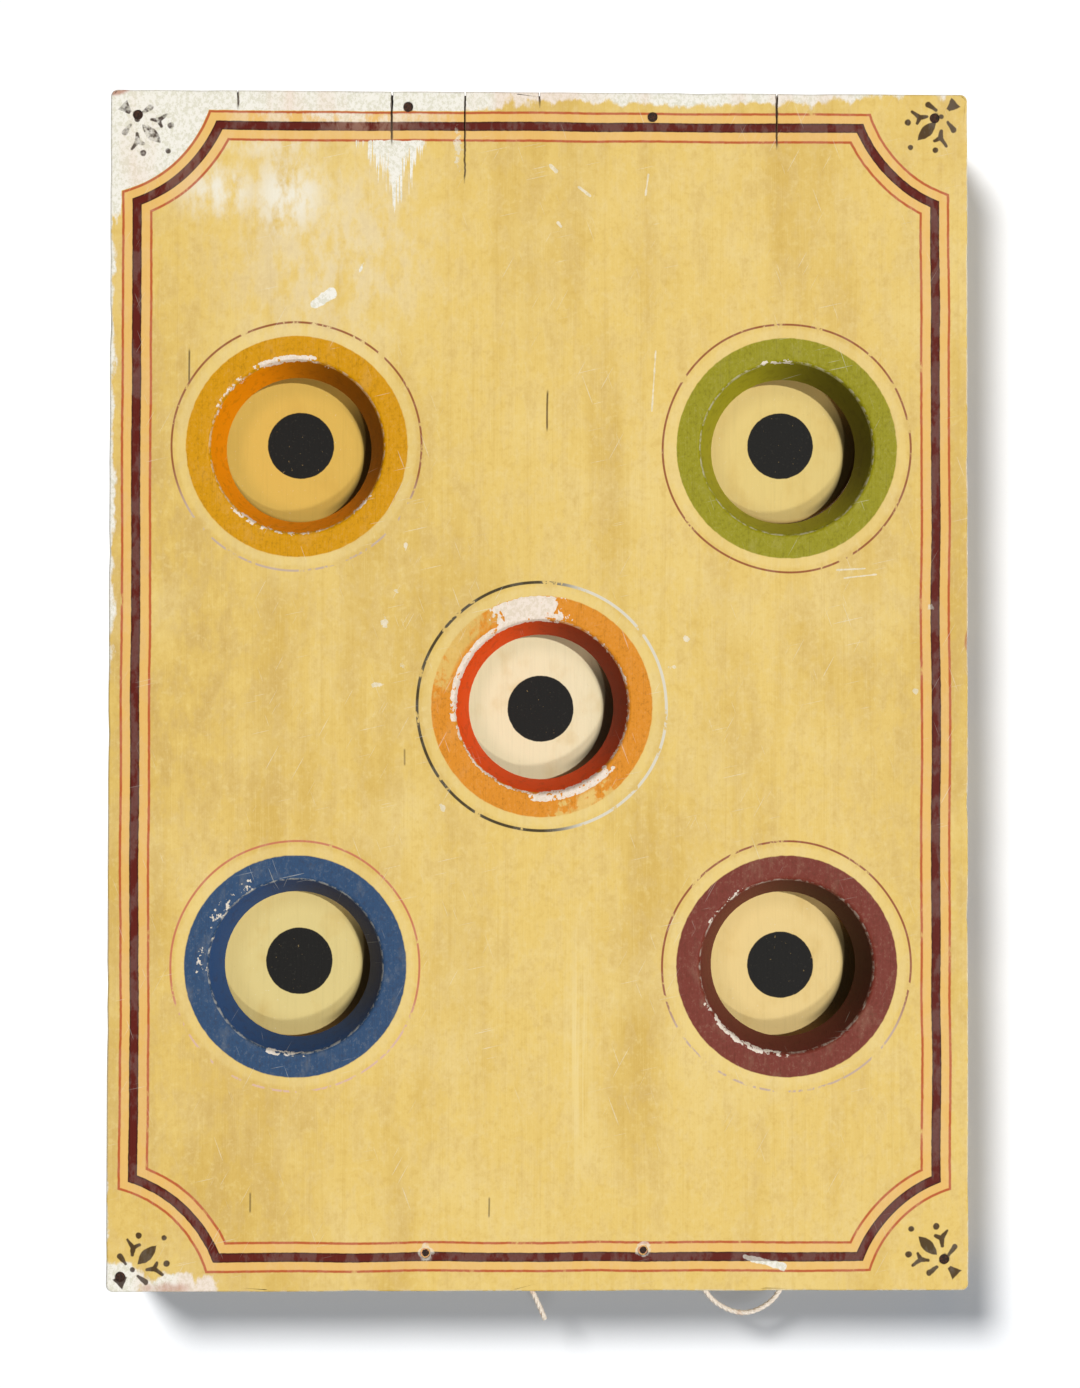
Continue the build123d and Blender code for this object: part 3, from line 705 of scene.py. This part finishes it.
def lay_nails(g, primer):
    near = nail_distance(g)
    g.lay(primer, (g.flake * 6 - near).rise(-1.6, -0.6) * low_nails(g) * 0.5)
    g.lay(tone(62, 42, 28), (near + g.bristle * 2).fall(2.2, 3.2) * 0.75)


def lay_cracks(g, paint):
    """Splits and checks."""
    drop = HALF_HEIGHT - g.z + g.bristle * 3
    cracks = []
    for at, run, half in SPLITS:
        across = abs(g.x - at + g.bristle)
        cracks.append(across.fall(half, half + 0.3) * drop.fall(run - 5, run) * 0.85)
    for at, level, run in CHECKS:
        across, along = abs(g.x - at + g.sway * 3), abs(g.z - level)
        cracks.append(across.fall(0.3, 0.65) * along.fall(run * 0.7, run) * (0.35 + run * 0.04))
    raw = g.mix(paint.bare_wood, tone(46, 30, 16), g.fine_brush.rise(0.40, 0.66))
    g.lay(raw, most_of(cracks))


def lay_edges(g, primer, ring):
    """The panel's edges are painted too, and rubbed to wood. Its back is bare."""
    thickness = BACK - FRONT
    rubbed = (g.ragged + g.speck * 0.4).rise(0.74, 0.86) * (1 - g.face) * (1 - ring)
    old_wood = g.mix(tone(150, 112, 70), tone(98, 68, 40), g.fine_brush.rise(0.38, 0.66))
    g.lay(old_wood, rubbed.most(g.depth.rise(thickness - 0.4, thickness - 0.1)))
    corner = g.depth.within(0.15, 1.1, 0.25) * (1 - ring) * g.ragged.rise(0.44, 0.56)
    g.lay(primer, corner * 0.5)


def scratches(g, gate):
    """Short pale scratches that run every way."""
    lines = []
    for turn, shift in ((0.5, 31.0), (-0.35, 37.0), (1.35, 41.0)):
        inputs = {
            "Vector": g.flat,
            "Location": (shift, 0.0, shift),
            "Rotation": (0.0, turn, 0.0),
            "Scale": (0.8, 1.0, 26.0),
        }
        turned = g.add("ShaderNodeMapping", {"vector_type": "TEXTURE"}, inputs)
        streak = g.add("ShaderNodeTexNoise", None, {"Vector": turned, "Scale": 1.0, "Detail": 0.0})
        lines.append(streak.rise(0.79, 0.81))
    return most_of(lines) * gate.rise(0.44, 0.60)


# Worn panel

# Splits, in millimetres, and the points down each side of one
SPLIT_DEPTH = 11
SPLIT_MARGIN = 2
SPLIT_STEPS = 7
# How far back and how far in the panel's edges are knocked, and the grid of points that lets them move
EDGE_DEPTH = 6
EDGE_WIDTH = 1.3
CELL = 12.0
# Edges under this angle are smooth. Points merge within this distance, in metres
CREASE = math.radians(28)
MERGE = 5e-6


def split_cutter():
    """Thin jagged wedges that open the splits in the panel's top edge."""
    draw = random.Random(11)
    points, faces = [], []
    for px, run, width in SPLITS:
        left, right = [], []
        for step in range(SPLIT_STEPS + 1):
            share = step / SPLIT_STEPS
            z = HALF_HEIGHT + SPLIT_MARGIN - (run + SPLIT_MARGIN) * share
            middle = px + draw.uniform(-0.35, 0.35) * (step > 0)
            half = width * (1 - share) + 0.04
            left.append((middle - half, z))
            right.append((middle + half, z))
        outline = left + right[::-1]
        first, count = len(points), len(outline)
        for y in (FRONT - SPLIT_MARGIN, FRONT + SPLIT_DEPTH):
            points.extend((a * MM, y * MM, b * MM) for a, b in outline)
        faces.append([first + i for i in range(count)][::-1])
        faces.append([first + count + i for i in range(count)])
        for i in range(count):
            j = (i + 1) % count
            faces.append([first + i, first + j, first + count + j, first + count + i])
    mesh = bpy.data.meshes.new("split_cutter")
    mesh.from_pydata(points, [], faces)
    shape = bmesh.new()
    shape.from_mesh(mesh)
    bmesh.ops.recalc_face_normals(shape, faces=shape.faces)
    shape.to_mesh(mesh)
    shape.free()
    return new_object("split_cutter", mesh)


def wear_edge(point):
    """Moves a point of the panel's outline a little way in, as knocks have."""
    x, y, z = (value / MM for value in point)
    if y > FRONT + EDGE_DEPTH:
        return point
    depth = 1 - max(0.0, y - FRONT) / EDGE_DEPTH
    knock = noise.noise(Vector((x * 0.045, 3.0, z * 0.045)))
    nick = max(0.0, noise.noise(Vector((x * 0.16, 9.0, z * 0.16))) - 0.25)
    inward = (0.25 + 0.55 * max(0.0, knock) + 2.0 * nick) * depth
    if abs(x) > HALF_WIDTH - EDGE_WIDTH:
        x -= math.copysign(inward, x)
    if abs(z) > HALF_HEIGHT - EDGE_WIDTH:
        z -= math.copysign(inward, z)
    return Vector((x * MM, y * MM, z * MM))


def lies_in_joint(face):
    return any(all(abs(vertex.co.x / MM - x) < 0.01 for vertex in face.verts) for x in JOINTS)


def joined_boards():
    """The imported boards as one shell, without the faces in their joints."""
    shape = bmesh.new()
    for name in BOARDS:
        shape.from_mesh(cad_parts[name].data)
    bmesh.ops.remove_doubles(shape, verts=shape.verts, dist=MERGE)
    hidden = [face for face in shape.faces if lies_in_joint(face)]
    bmesh.ops.delete(shape, geom=hidden, context="FACES")
    bmesh.ops.remove_doubles(shape, verts=shape.verts, dist=MERGE)
    mesh = bpy.data.meshes.new("worn_panel")
    shape.to_mesh(mesh)
    shape.free()
    return new_object("worn_panel", mesh)


def worn_panel():
    """One painted panel, with its splits opened and its edges knocked about."""
    piece = joined_boards()
    cutter = split_cutter()
    opened = piece.modifiers.new("splits", "BOOLEAN")
    opened.operation = "DIFFERENCE"
    opened.solver = "EXACT"
    opened.object = cutter
    settle(piece)
    bpy.data.objects.remove(cutter)
    shape = bmesh.new()
    shape.from_mesh(piece.data)
    for axis, half in ((0, HALF_WIDTH), (2, HALF_HEIGHT)):
        count = int(half / CELL)
        for step in range(-count, count + 1):
            middle, normal = [0.0, 0.0, 0.0], [0.0, 0.0, 0.0]
            middle[axis], normal[axis] = step * CELL * MM, 1.0
            everything = shape.verts[:] + shape.edges[:] + shape.faces[:]
            bmesh.ops.bisect_plane(shape, geom=everything, dist=1e-7, plane_co=middle, plane_no=normal)
    for vertex in shape.verts:
        vertex.co = wear_edge(vertex.co)
    for face in shape.faces:
        face.smooth = True
    for edge in shape.edges:
        edge.smooth = len(edge.link_faces) == 2 and edge.calc_face_angle(0.0) < CREASE
    shape.to_mesh(piece.data)
    shape.free()
    return piece


# Other finishes

# Cream of each target
TARGETS = {
    "upper_left": (220, 182, 88),
    "upper_right": (228, 203, 129),
    "centre": (238, 225, 186),
    "lower_left": (226, 206, 138),
    "lower_right": (236, 209, 142),
}


def darkened(shade, share):
    return tuple(value * share for value in shade)


def target_finish(place, paint, sizes):
    """Cream paint and a black bullseye on the front, bare wood behind."""
    cream = tone(*TARGETS[place])
    g = Finish(f"target_paint_{place}", cream)
    low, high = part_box(f"target_disc_{place}")
    middle_x, middle_z = (low.x + high.x) / 2 / MM, (low.z + high.z) / 2 / MM
    away = g.distance(middle_x, middle_z)
    depth = g.y - low.y / MM
    brush = g.noise((1.4, 20, 34), 3.0, 0.6, shift=middle_x)
    mottle = g.noise((20, 20, 30), 4.0, 0.6, shift=middle_z)
    speck = g.noise(1.5, 3.0, 0.7, shift=2.0)
    bristle = g.noise(2.6, 2.0, shift=3.0) - 0.5
    g.lay(darkened(cream, 0.86), brush.rise(0.48, 0.74) * 0.35)
    g.lay(paint.ground_deep, mottle.rise(0.50, 0.76) * 0.35)
    g.lay(paint.primer, speck.rise(0.66, 0.76) * 0.35)
    dot = (away + bristle * 0.5).fall(sizes.bullseye / MM - 0.25, sizes.bullseye / MM + 0.25)
    ink = g.mix(paint.bullseye, tone(58, 56, 50), speck.rise(0.56, 0.74) * 0.5)
    knocks = g.noise(2.0, 2.0, 0.6, shift=middle_x + 5.0).rise(0.70, 0.74)
    g.lay(g.mix(ink, tone(150, 128, 84), knocks * 0.7), dot * depth.fall(2.0, 3.0))
    grain = g.noise((0.9, 10, 24), 4.0, 0.6, shift=8.0)
    bare = depth.rise(4.0, 5.0)
    g.lay(g.mix(tone(146, 108, 66), tone(92, 62, 36), grain.rise(0.38, 0.66)), bare)

    # Darker towards the hole's edge, and most at the right, where the rim shades the disc
    hole_x, hole_z = HOLES[place]
    from_hole = g.distance(hole_x, hole_z)
    lee = ((g.x - hole_x) * 0.98 - (g.z - hole_z) * 0.17) / from_hole
    g.lay(tone(140, 118, 58), from_hole.rise(26, 36) * 0.16 * (1 - bare))
    g.lay(tone(30, 20, 8), from_hole.rise(32.0, 35.5) * lee.rise(0.40, 0.95) * 0.85)
    height = brush * 0.08 + speck * 0.05 + dot * 0.05 - knocks * 0.08 + bare * grain * 0.2
    return g.finish(0.50 + speck * 0.16 + bare * 0.2, height, specular=0.08)


def along_grain(along, long, fine):
    """Lump sizes drawn out along X or Z."""
    return (long, fine, fine) if along == "x" else (fine, fine, long)


def wood_finish(name, along, light, dark):
    """Aged softwood whose grain runs along X or Z, with its roughness and height, not yet ended."""
    g = Finish(name, light)
    rings = g.noise(along_grain(along, 240, 14), 3.0, 0.5, shift=3.0, distortion=0.4)
    bands = (rings * 34).math("SINE") * 0.5 + 0.5
    streak = g.noise(along_grain(along, 60, 2.4), 4.0, 0.6, shift=5.0)
    fibres = g.noise(along_grain(along, 26, 0.5), 3.0, 0.6, shift=7.0)
    grime = g.noise(50, 4.0, 0.6, shift=9.0)
    g.lay(dark, bands * streak.rise(0.30, 0.62) * 0.75)
    g.lay(darkened(dark, 0.55), fibres.rise(0.54, 0.72) * 0.6)
    g.lay(tone(70, 56, 42), grime.rise(0.52, 0.76) * 0.55)
    knots = g.cells(90, 4.0).fall(0.05, 0.13)
    g.lay(tone(66, 40, 22), knots * 0.8)
    return g, 0.66 + fibres * 0.18, fibres * 0.16 + bands * 0.10 - grime * 0.05


def case_finish(name, along, paint):
    """Case boards: old ochre paint left on the outside, bare wood inside."""
    g, roughness, height = wood_finish(name, along, tone(168, 128, 82), tone(120, 84, 48))
    beside = abs(g.x).rise(HALF_WIDTH - 0.6, HALF_WIDTH - 0.2)
    outside = beside.most(abs(g.z).rise(HALF_HEIGHT - 0.6, HALF_HEIGHT - 0.2))
    flake = g.noise(16, 5.0, 0.68, shift=12.0)
    brush = g.noise(along_grain(along, 30, 2), 3.0, 0.6, shift=15.0)
    left = (flake + brush * 0.3 - (g.y - BACK) * 0.0012).fall(0.73, 0.81)
    coat = g.mix(paint.ground, paint.ground_deep, brush.rise(0.42, 0.68))
    coat = g.mix(coat, tone(120, 88, 44), g.noise(40, 4.0, shift=18.0).rise(0.48, 0.70) * 0.5)
    cover = outside * left
    g.lay(coat, cover)
    return g.finish(roughness - cover * 0.2, height + cover * 0.15, specular=0.3)


def plain_wood_finish(name, along):
    g, roughness, height = wood_finish(name, along, tone(176, 138, 92), tone(130, 92, 54))
    return g.finish(roughness, height, specular=0.3)


def iron_finish(name, rust_share):
    g = Finish(name, tone(58, 54, 50))
    scale = g.noise(3.0, 4.0, 0.6, shift=2.0)
    rust = g.noise(7, 5.0, 0.66, shift=6.0).rise(0.62 - rust_share * 0.3, 0.72 - rust_share * 0.3)
    dents = g.cells(2.6, 3.0)
    g.lay(tone(84, 78, 72), scale.rise(0.40, 0.66))
    g.lay(g.mix(tone(104, 62, 34), tone(70, 42, 26), g.noise(1.6, 3.0, shift=9.0)), rust)
    height = dents * 0.05 + rust * 0.06 + scale * 0.05
    return g.finish(0.42 + rust * 0.4 + scale * 0.12, height, metallic=0.85 - rust * 0.8)


def face_nail_finish(paint):
    """Nail heads in the face: rusty and dark, with paint left round the two in the bottom's middle."""
    g = Finish("face_nail_iron", tone(34, 22, 16))
    pits = g.noise(1.2, 3.0, 0.6, shift=4.0)
    g.lay(tone(74, 46, 32), pits.rise(0.42, 0.66))
    rim = (nail_distance(g) + (pits - 0.5) * 1.6).rise(1.7, 2.1) * (g.y - FRONT).fall(1.2, 1.6)
    g.lay(g.mix(paint.peach, tone(206, 150, 120), pits.rise(0.40, 0.60)), rim * low_nails(g))
    return g.finish(0.6 + pits * 0.3, pits * 0.12, specular=0.2)


def felt_finish():
    g = Finish("felt", tone(58, 66, 56))
    fuzz = g.noise(0.7, 4.0, 0.7, shift=2.0)
    hairs = g.noise((6, 0.4, 0.4), 2.0, 0.6, shift=4.0, distortion=1.5)
    worn = g.noise(24, 4.0, 0.6, shift=6.0)
    g.lay(tone(84, 90, 76), fuzz.rise(0.35, 0.66))
    g.lay(tone(112, 112, 94), hairs.rise(0.60, 0.72) * 0.5)
    g.lay(tone(92, 80, 58), worn.rise(0.52, 0.76) * 0.5)
    return g.finish(0.94 + fuzz * 0.05, fuzz * 0.35 + hairs * 0.15, specular=0.1)


def leather_finish():
    g = Finish("leather", tone(98, 62, 38))
    pores = g.cells(0.9, 2.0)
    crease = g.noise(3, 4.0, 0.6, shift=5.0)
    g.lay(tone(64, 38, 22), pores.rise(0.2, 0.6))
    g.lay(tone(134, 92, 58), crease.rise(0.56, 0.72) * 0.6)
    return g.finish(0.62 + crease * 0.15, pores * 0.12 + crease * 0.1, specular=0.35)


def twine_finish():
    g = Finish("twine", tone(250, 242, 230))
    fibre = g.noise((0.25, 0.25, 1.2), 3.0, 0.7, shift=3.0)
    tint = g.noise(6, 3.0, 0.6, shift=5.0)
    g.lay(tone(222, 204, 182), fibre.rise(0.38, 0.68))
    g.lay(tone(206, 156, 112), tint.rise(0.54, 0.70) * 0.4)
    return g.finish(0.86 + fibre * 0.08, fibre * 0.12, specular=0.2)


# Twine

# Routes in millimetres: right of the panel's middle, behind the twine's own plane and above the bottom edge
LOOP_ROUTE = (
    (87.5, 0.0, 10.0), (87.5, 0.0, -1.5), (96.0, 1.0, -13.5), (112.0, 2.0, -20.0),
    (127.0, 1.0, -13.0), (134.0, 0.0, -1.0), (134.0, 0.0, 10.0),
)
TAIL_ROUTE = ((-5.6, 0.0, 10.0), (-5.6, 0.0, -0.8), (-0.2, -1.0, -10.8), (4.2, -1.6, -21.0))
# The twine's plane, behind the panel's back
TWINE_SETBACK = 14.0
# How far the strands stand from the middle, and their radius, as shares of the twine's diameter
STRAND_REACH = 0.22
STRAND_RADIUS = 0.32


def route_spline(name, route):
    """One NURBS spline through the twine's route, which is measured from the bottom rail's underside."""
    line = bpy.data.curves.new(name, "CURVE")
    line.dimensions = "3D"
    line.resolution_u = 16
    spline = line.splines.new("NURBS")
    spline.points.add(len(route) - 1)
    for point, (x, y, z) in zip(spline.points, route):
        point.co = (x * MM, (BACK + TWINE_SETBACK + y) * MM, (z - HALF_HEIGHT) * MM, 1.0)
    spline.order_u = 3
    spline.use_endpoint_u = True
    return line


def spline_points(name, route):
    """Points read along the route's spline."""
    line = route_spline(name + "_route", route)
    guide = new_object(name + "_route", line)
    mesh = evaluated_mesh(guide)
    points = [vertex.co.copy() for vertex in mesh.vertices]
    bpy.data.objects.remove(guide)
    bpy.data.meshes.remove(mesh)
    bpy.data.curves.remove(line)
    return points


def twine_tree(material):
    """Geometry Nodes: strands laid round a line, with stray hairs on them."""
    tree = bpy.data.node_groups.new("twine_strands", "GeometryNodeTree")
    g = Graph(tree)
    kinds = {"Geometry": "Geometry", "Diameter": "Float", "Pitch": "Float", "Strands": "Int", "Seed": "Int"}
    for name, kind in kinds.items():
        tree.interface.new_socket(name, in_out="INPUT", socket_type="NodeSocket" + kind)
    tree.interface.new_socket("Geometry", in_out="OUTPUT", socket_type="NodeSocketGeometry")
    given = g.add("NodeGroupInput")
    diameter, pitch, count, seed = (given.other(name) for name in ("Diameter", "Pitch", "Strands", "Seed"))

    line = g.add("GeometryNodeMeshToCurve", None, {0: given})
    even = g.add("GeometryNodeResampleCurve", {"mode": "LENGTH"}, {"Curve": line, "Length": 0.5 * MM})
    inputs = {"Geometry": even, "Amount": count}
    strands = g.add("GeometryNodeDuplicateElements", {"domain": "SPLINE"}, inputs)
    along = g.add("GeometryNodeSplineParameter", output="Length")
    turn = (along / pitch + strands.other("Duplicate Index") / count) * math.tau
    normal = g.add("GeometryNodeInputNormal")
    tangent = g.add("GeometryNodeInputTangent")
    across = g.vector("CROSS_PRODUCT", {0: tangent, 1: normal})
    reach = diameter * STRAND_REACH
    first = g.vector("SCALE", {0: normal, "Scale": turn.math("COSINE") * reach})
    second = g.vector("SCALE", {0: across, "Scale": turn.math("SINE") * reach})
    offset = g.vector("ADD", {0: first, 1: second})
    laid = g.add("GeometryNodeSetPosition", None, {"Geometry": strands, "Offset": offset})
    inputs = {"Resolution": 10, "Radius": diameter * STRAND_RADIUS}
    ring = g.add("GeometryNodeCurvePrimitiveCircle", None, inputs)
    inputs = {"Curve": laid, "Profile Curve": ring, "Fill Caps": True}
    tubes = g.add("GeometryNodeCurveToMesh", None, inputs)

    inputs = {"Mesh": tubes, "Density": 2.4e5, "Seed": seed}
    spots = g.add("GeometryNodeDistributePointsOnFaces", None, inputs)
    inputs = {"Vertices": 3, "Radius Top": 0.02 * MM, "Radius Bottom": 0.06 * MM, "Depth": 1.5 * MM}
    hair = g.add("GeometryNodeMeshCone", None, inputs)
    inputs = {0: (-1.2, -1.2, 0.0), 1: (1.2, 1.2, math.tau), "Seed": seed}
    lean = g.add("FunctionNodeRandomValue", {"data_type": "FLOAT_VECTOR"}, inputs)
    turned = g.add("FunctionNodeRotateEuler", {"space": "LOCAL"}, {0: spots.other("Rotation"), 1: lean})
    inputs = {"Points": spots, "Instance": hair, "Rotation": turned}
    hairs = g.add("GeometryNodeInstanceOnPoints", None, inputs)

    whole = g.add("GeometryNodeJoinGeometry", None, {0: [hairs, tubes]})
    real = g.add("GeometryNodeRealizeInstances", None, {"Geometry": whole})
    painted = g.add("GeometryNodeSetMaterial", None, {"Geometry": real, "Material": material})
    g.add("NodeGroupOutput", None, {0: painted})
    return tree


def line_object(name, points):
    mesh = bpy.data.meshes.new(name)
    mesh.from_pydata(points, [(i, i + 1) for i in range(len(points) - 1)], [])
    return new_object(name, mesh)


def set_inputs(modifier, values):
    for item in modifier.node_group.interface.items_tree:
        if item.in_out == "INPUT" and item.name in values:
            modifier[item.identifier] = values[item.name]


# Operators


class BOARD_OT_panel(Operator):
    """Wears and paints the front panel"""

    bl_idname = "board.panel"
    bl_label = "Paint the panel"

    def execute(self, context):
        scene = context.scene
        piece = worn_panel()
        piece.data.materials.clear()
        piece.data.materials.append(panel_finish(scene.board_paint, scene.board_sizes))
        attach(piece, "case")
        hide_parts(*BOARDS)
        return {"FINISHED"}


class BOARD_OT_targets(Operator):
    """Paints the five targets"""

    bl_idname = "board.targets"
    bl_label = "Paint the targets"

    def execute(self, context):
        scene = context.scene
        for place in PLACES:
            dress([f"target_disc_{place}"], target_finish(place, scene.board_paint, scene.board_sizes))
        return {"FINISHED"}


class BOARD_OT_case(Operator):
    """Gives the case, battens and stop blocks their wood"""

    bl_idname = "board.case"
    bl_label = "Finish the case"

    def execute(self, context):
        paint = context.scene.board_paint
        dress(["top_rail", "bottom_rail"], case_finish("case_wood_level", "x", paint))
        dress(["left_side", "right_side"], case_finish("case_wood_upright", "z", paint))
        level = [f"back_batten_{row}" for row in ROWS] + [f"stop_block_{place}" for place in PLACES]
        dress(level, plain_wood_finish("batten_wood", "x"))
        return {"FINISHED"}


class BOARD_OT_ironwork(Operator):
    """Gives straps, brackets, pins, nails and screws their iron"""

    bl_idname = "board.ironwork"
    bl_label = "Finish the ironwork"

    def execute(self, context):
        straps = [f"{kind}_{place}" for kind in ("target_strap", "pivot_bracket") for place in PLACES]
        dress(straps + ["hanger_plates"], iron_finish("strap_iron", 0.35))
        small = [f"{kind}_{place}" for kind in ("target_screws", "pivot_pin") for place in PLACES]
        dress(small + ["bracket_screws", "hanger_screws"], iron_finish("screw_iron", 0.15))
        dress(["rail_nails", "batten_nails"], iron_finish("nail_iron", 0.55))
        dress(["panel_nails"], face_nail_finish(context.scene.board_paint))
        return {"FINISHED"}


class BOARD_OT_pads(Operator):
    """Gives the felt strips and leather pads their finish"""

    bl_idname = "board.pads"
    bl_label = "Finish felt and leather"

    def execute(self, context):
        dress([f"felt_strip_{row}" for row in ROWS], felt_finish())
        dress(["stop_pads"], leather_finish())
        return {"FINISHED"}


class BOARD_OT_twine(Operator):
    """Makes the twine loop and the loose end"""

    bl_idname = "board.twine"
    bl_label = "Lay the twine"

    def execute(self, context):
        sizes = context.scene.board_sizes
        material = twine_finish()
        tree = twine_tree(material)
        jobs = (("twine_loop", LOOP_ROUTE, 0.083, "object", 3), ("twine_tail", TAIL_ROUTE, 0.033, "bare", 5))
        for node, route, real_length, far_end, seed in jobs:
            points = spline_points(node, route)
            piece = line_object(node + "_strands", points)
            modifier = piece.modifiers.new("strands", "NODES")
            modifier.node_group = tree
            set_inputs(modifier, {
                "Diameter": sizes.twine, "Pitch": sizes.twine_pitch, "Strands": sizes.strands, "Seed": seed,
            })
            settle(piece)
            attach(piece, "case")
            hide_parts(node)
        return {"FINISHED"}


class BOARD_OT_stage(Operator):
    """Sets up the wall, the lamps and the camera"""

    bl_idname = "board.stage"
    bl_label = "Set the stage"

    def execute(self, context):
        stage = context.scene.board_stage
        wall = make_wall()
        make_world(context.scene, stage)
        make_lamps(wall, stage)
        make_camera(context.scene, stage)
        context.scene.view_settings.view_transform = "Standard"
        return {"FINISHED"}


def make_wall():
    """A white wall just behind the board. Only what looks at its front sees it."""
    reach, gap = 4.0, 0.003
    mesh = bpy.data.meshes.new("wall")
    corners = [(-reach, gap, -reach), (reach, gap, -reach), (reach, gap, reach), (-reach, gap, reach)]
    mesh.from_pydata(corners, [], [(0, 1, 2, 3)])
    wall = new_object("wall", mesh)
    g = Finish("wall_white", tone(246, 246, 246))
    g.lay(tone(250, 250, 250), g.noise(1.5, 3.0, 0.6))
    diffuse = g.add("ShaderNodeBsdfDiffuse", None, {"Color": g.shade})
    clear = g.add("ShaderNodeBsdfTransparent")
    behind = g.add("ShaderNodeNewGeometry", output="Backfacing")
    seen = looked_at(g) * (1 - behind)
    mesh.materials.append(g.end(g.add("ShaderNodeMixShader", None, {0: seen, 1: clear, 2: diffuse})))
    return wall


def looked_at(g):
    """1 for rays that show a background: from the camera, off a shiny surface or through a clear one."""
    camera = g.add("ShaderNodeLightPath", output="Is Camera Ray")
    return camera.most(camera.other("Is Glossy Ray")).most(camera.other("Is Transmission Ray"))


def make_world(scene, stage):
    scene.world = bpy.data.worlds.new("studio")
    scene.world.use_nodes = True
    g = Graph(scene.world.node_tree)
    light = g.add("ShaderNodeBackground", None, {"Color": (1, 1, 1, 1), "Strength": stage.ambient})
    white = g.add("ShaderNodeBackground", None, {"Color": (1, 1, 1, 1), "Strength": 1.0})
    blend = g.add("ShaderNodeMixShader", None, {0: looked_at(g), 1: light, 2: white})
    g.add("ShaderNodeOutputWorld", None, {"Surface": blend})


def sun(name, strength, toward, softness):
    """A sun lamp. Toward points from the board to the lamp."""
    lamp = bpy.data.lights.new(name, "SUN")
    lamp.energy = strength
    lamp.angle = math.radians(softness)
    holder = new_object(name, lamp)
    holder.rotation_euler = Vector(toward).to_track_quat("Z", "Y").to_euler()
    return holder


def make_lamps(wall, stage):
    """Lamps for the board that leave the wall out, and lamps for the wall alone."""
    board_only = bpy.data.collections.new("lit_apart_from_wall")
    board_only.objects.link(wall)
    board_only.collection_objects[0].light_linking.link_state = "EXCLUDE"
    wall_only = bpy.data.collections.new("lit_wall")
    wall_only.objects.link(wall)
    key = sun("key", stage.key, (0.32, -1.0, 0.06), 2.0)
    low = sun("low", stage.fill, (0.26, -1.0, -0.45), 3.0)
    behind_left = sun("behind_left", stage.behind_left, (-0.6, 1.0, 0.6), 12.0)
    behind_right = sun("behind_right", stage.behind_right, (0.7, 1.0, 0.1), 12.0)
    for lamp in (key, low, behind_left, behind_right):
        lamp.light_linking.receiver_collection = board_only
    wall_lamp = sun("wall_lamp", stage.wall_lamp, (-0.355, -1.0, 0.47), 13.0)
    wall_fill = sun("wall_fill", stage.wall_fill, (0.0, -1.0, 0.0), 15.0)
    wall_fill.data.color = (0.90, 1.0, 1.14)
    for lamp in (wall_lamp, wall_fill):
        lamp.light_linking.receiver_collection = wall_only


def make_camera(scene, stage):
    lens = bpy.data.cameras.new("camera")
    lens.lens = stage.lens
    lens.sensor_width = 36.0
    camera = new_object("camera", lens)
    camera.location = (stage.offset_x, FRONT * MM - stage.distance, stage.offset_z)
    turn = Euler((stage.pitch, 0, 0)).to_matrix()
    heading = Euler((0, 0, stage.yaw)).to_matrix()
    bank = Euler((0, stage.roll, 0)).to_matrix()
    level = Euler((math.pi / 2, 0, 0)).to_matrix()
    camera.rotation_euler = (heading @ turn @ bank @ level).to_euler()
    scene.camera = camera


class BOARD_PT_sidebar(Panel):
    """Lists the board's settings and steps"""

    bl_label = "Game board"
    bl_idname = "BOARD_PT_sidebar"
    bl_space_type = "VIEW_3D"
    bl_region_type = "UI"
    bl_category = "Game board"

    def draw(self, context):
        scene = context.scene
        for group in (scene.board_paint, scene.board_sizes, scene.board_stage):
            box = self.layout.box()
            for name in group.bl_rna.properties.keys():
                if name not in ("rna_type", "name"):
                    box.prop(group, name)
        for step in STEPS:
            self.layout.operator(step.bl_idname)


GROUPS = {"board_paint": BoardPaint, "board_sizes": BoardSizes, "board_stage": BoardStage}
STEPS = (
    BOARD_OT_twine, BOARD_OT_panel, BOARD_OT_targets, BOARD_OT_case, BOARD_OT_ironwork, BOARD_OT_pads,
    BOARD_OT_stage,
)


def register():
    for made in (*GROUPS.values(), *STEPS, BOARD_PT_sidebar):
        bpy.utils.register_class(made)
    for name, group in GROUPS.items():
        setattr(bpy.types.Scene, name, PointerProperty(type=group))


def unregister():
    for name in GROUPS:
        delattr(bpy.types.Scene, name)
    for made in reversed((*GROUPS.values(), *STEPS, BOARD_PT_sidebar)):
        bpy.utils.unregister_class(made)


def main():
    register()
    bpy.ops.board.stage()
    bpy.ops.board.twine()
    bpy.ops.board.panel()
    bpy.ops.board.targets()
    bpy.ops.board.case()
    bpy.ops.board.ironwork()
    bpy.ops.board.pads()


if __name__ == "__main__":
    main()
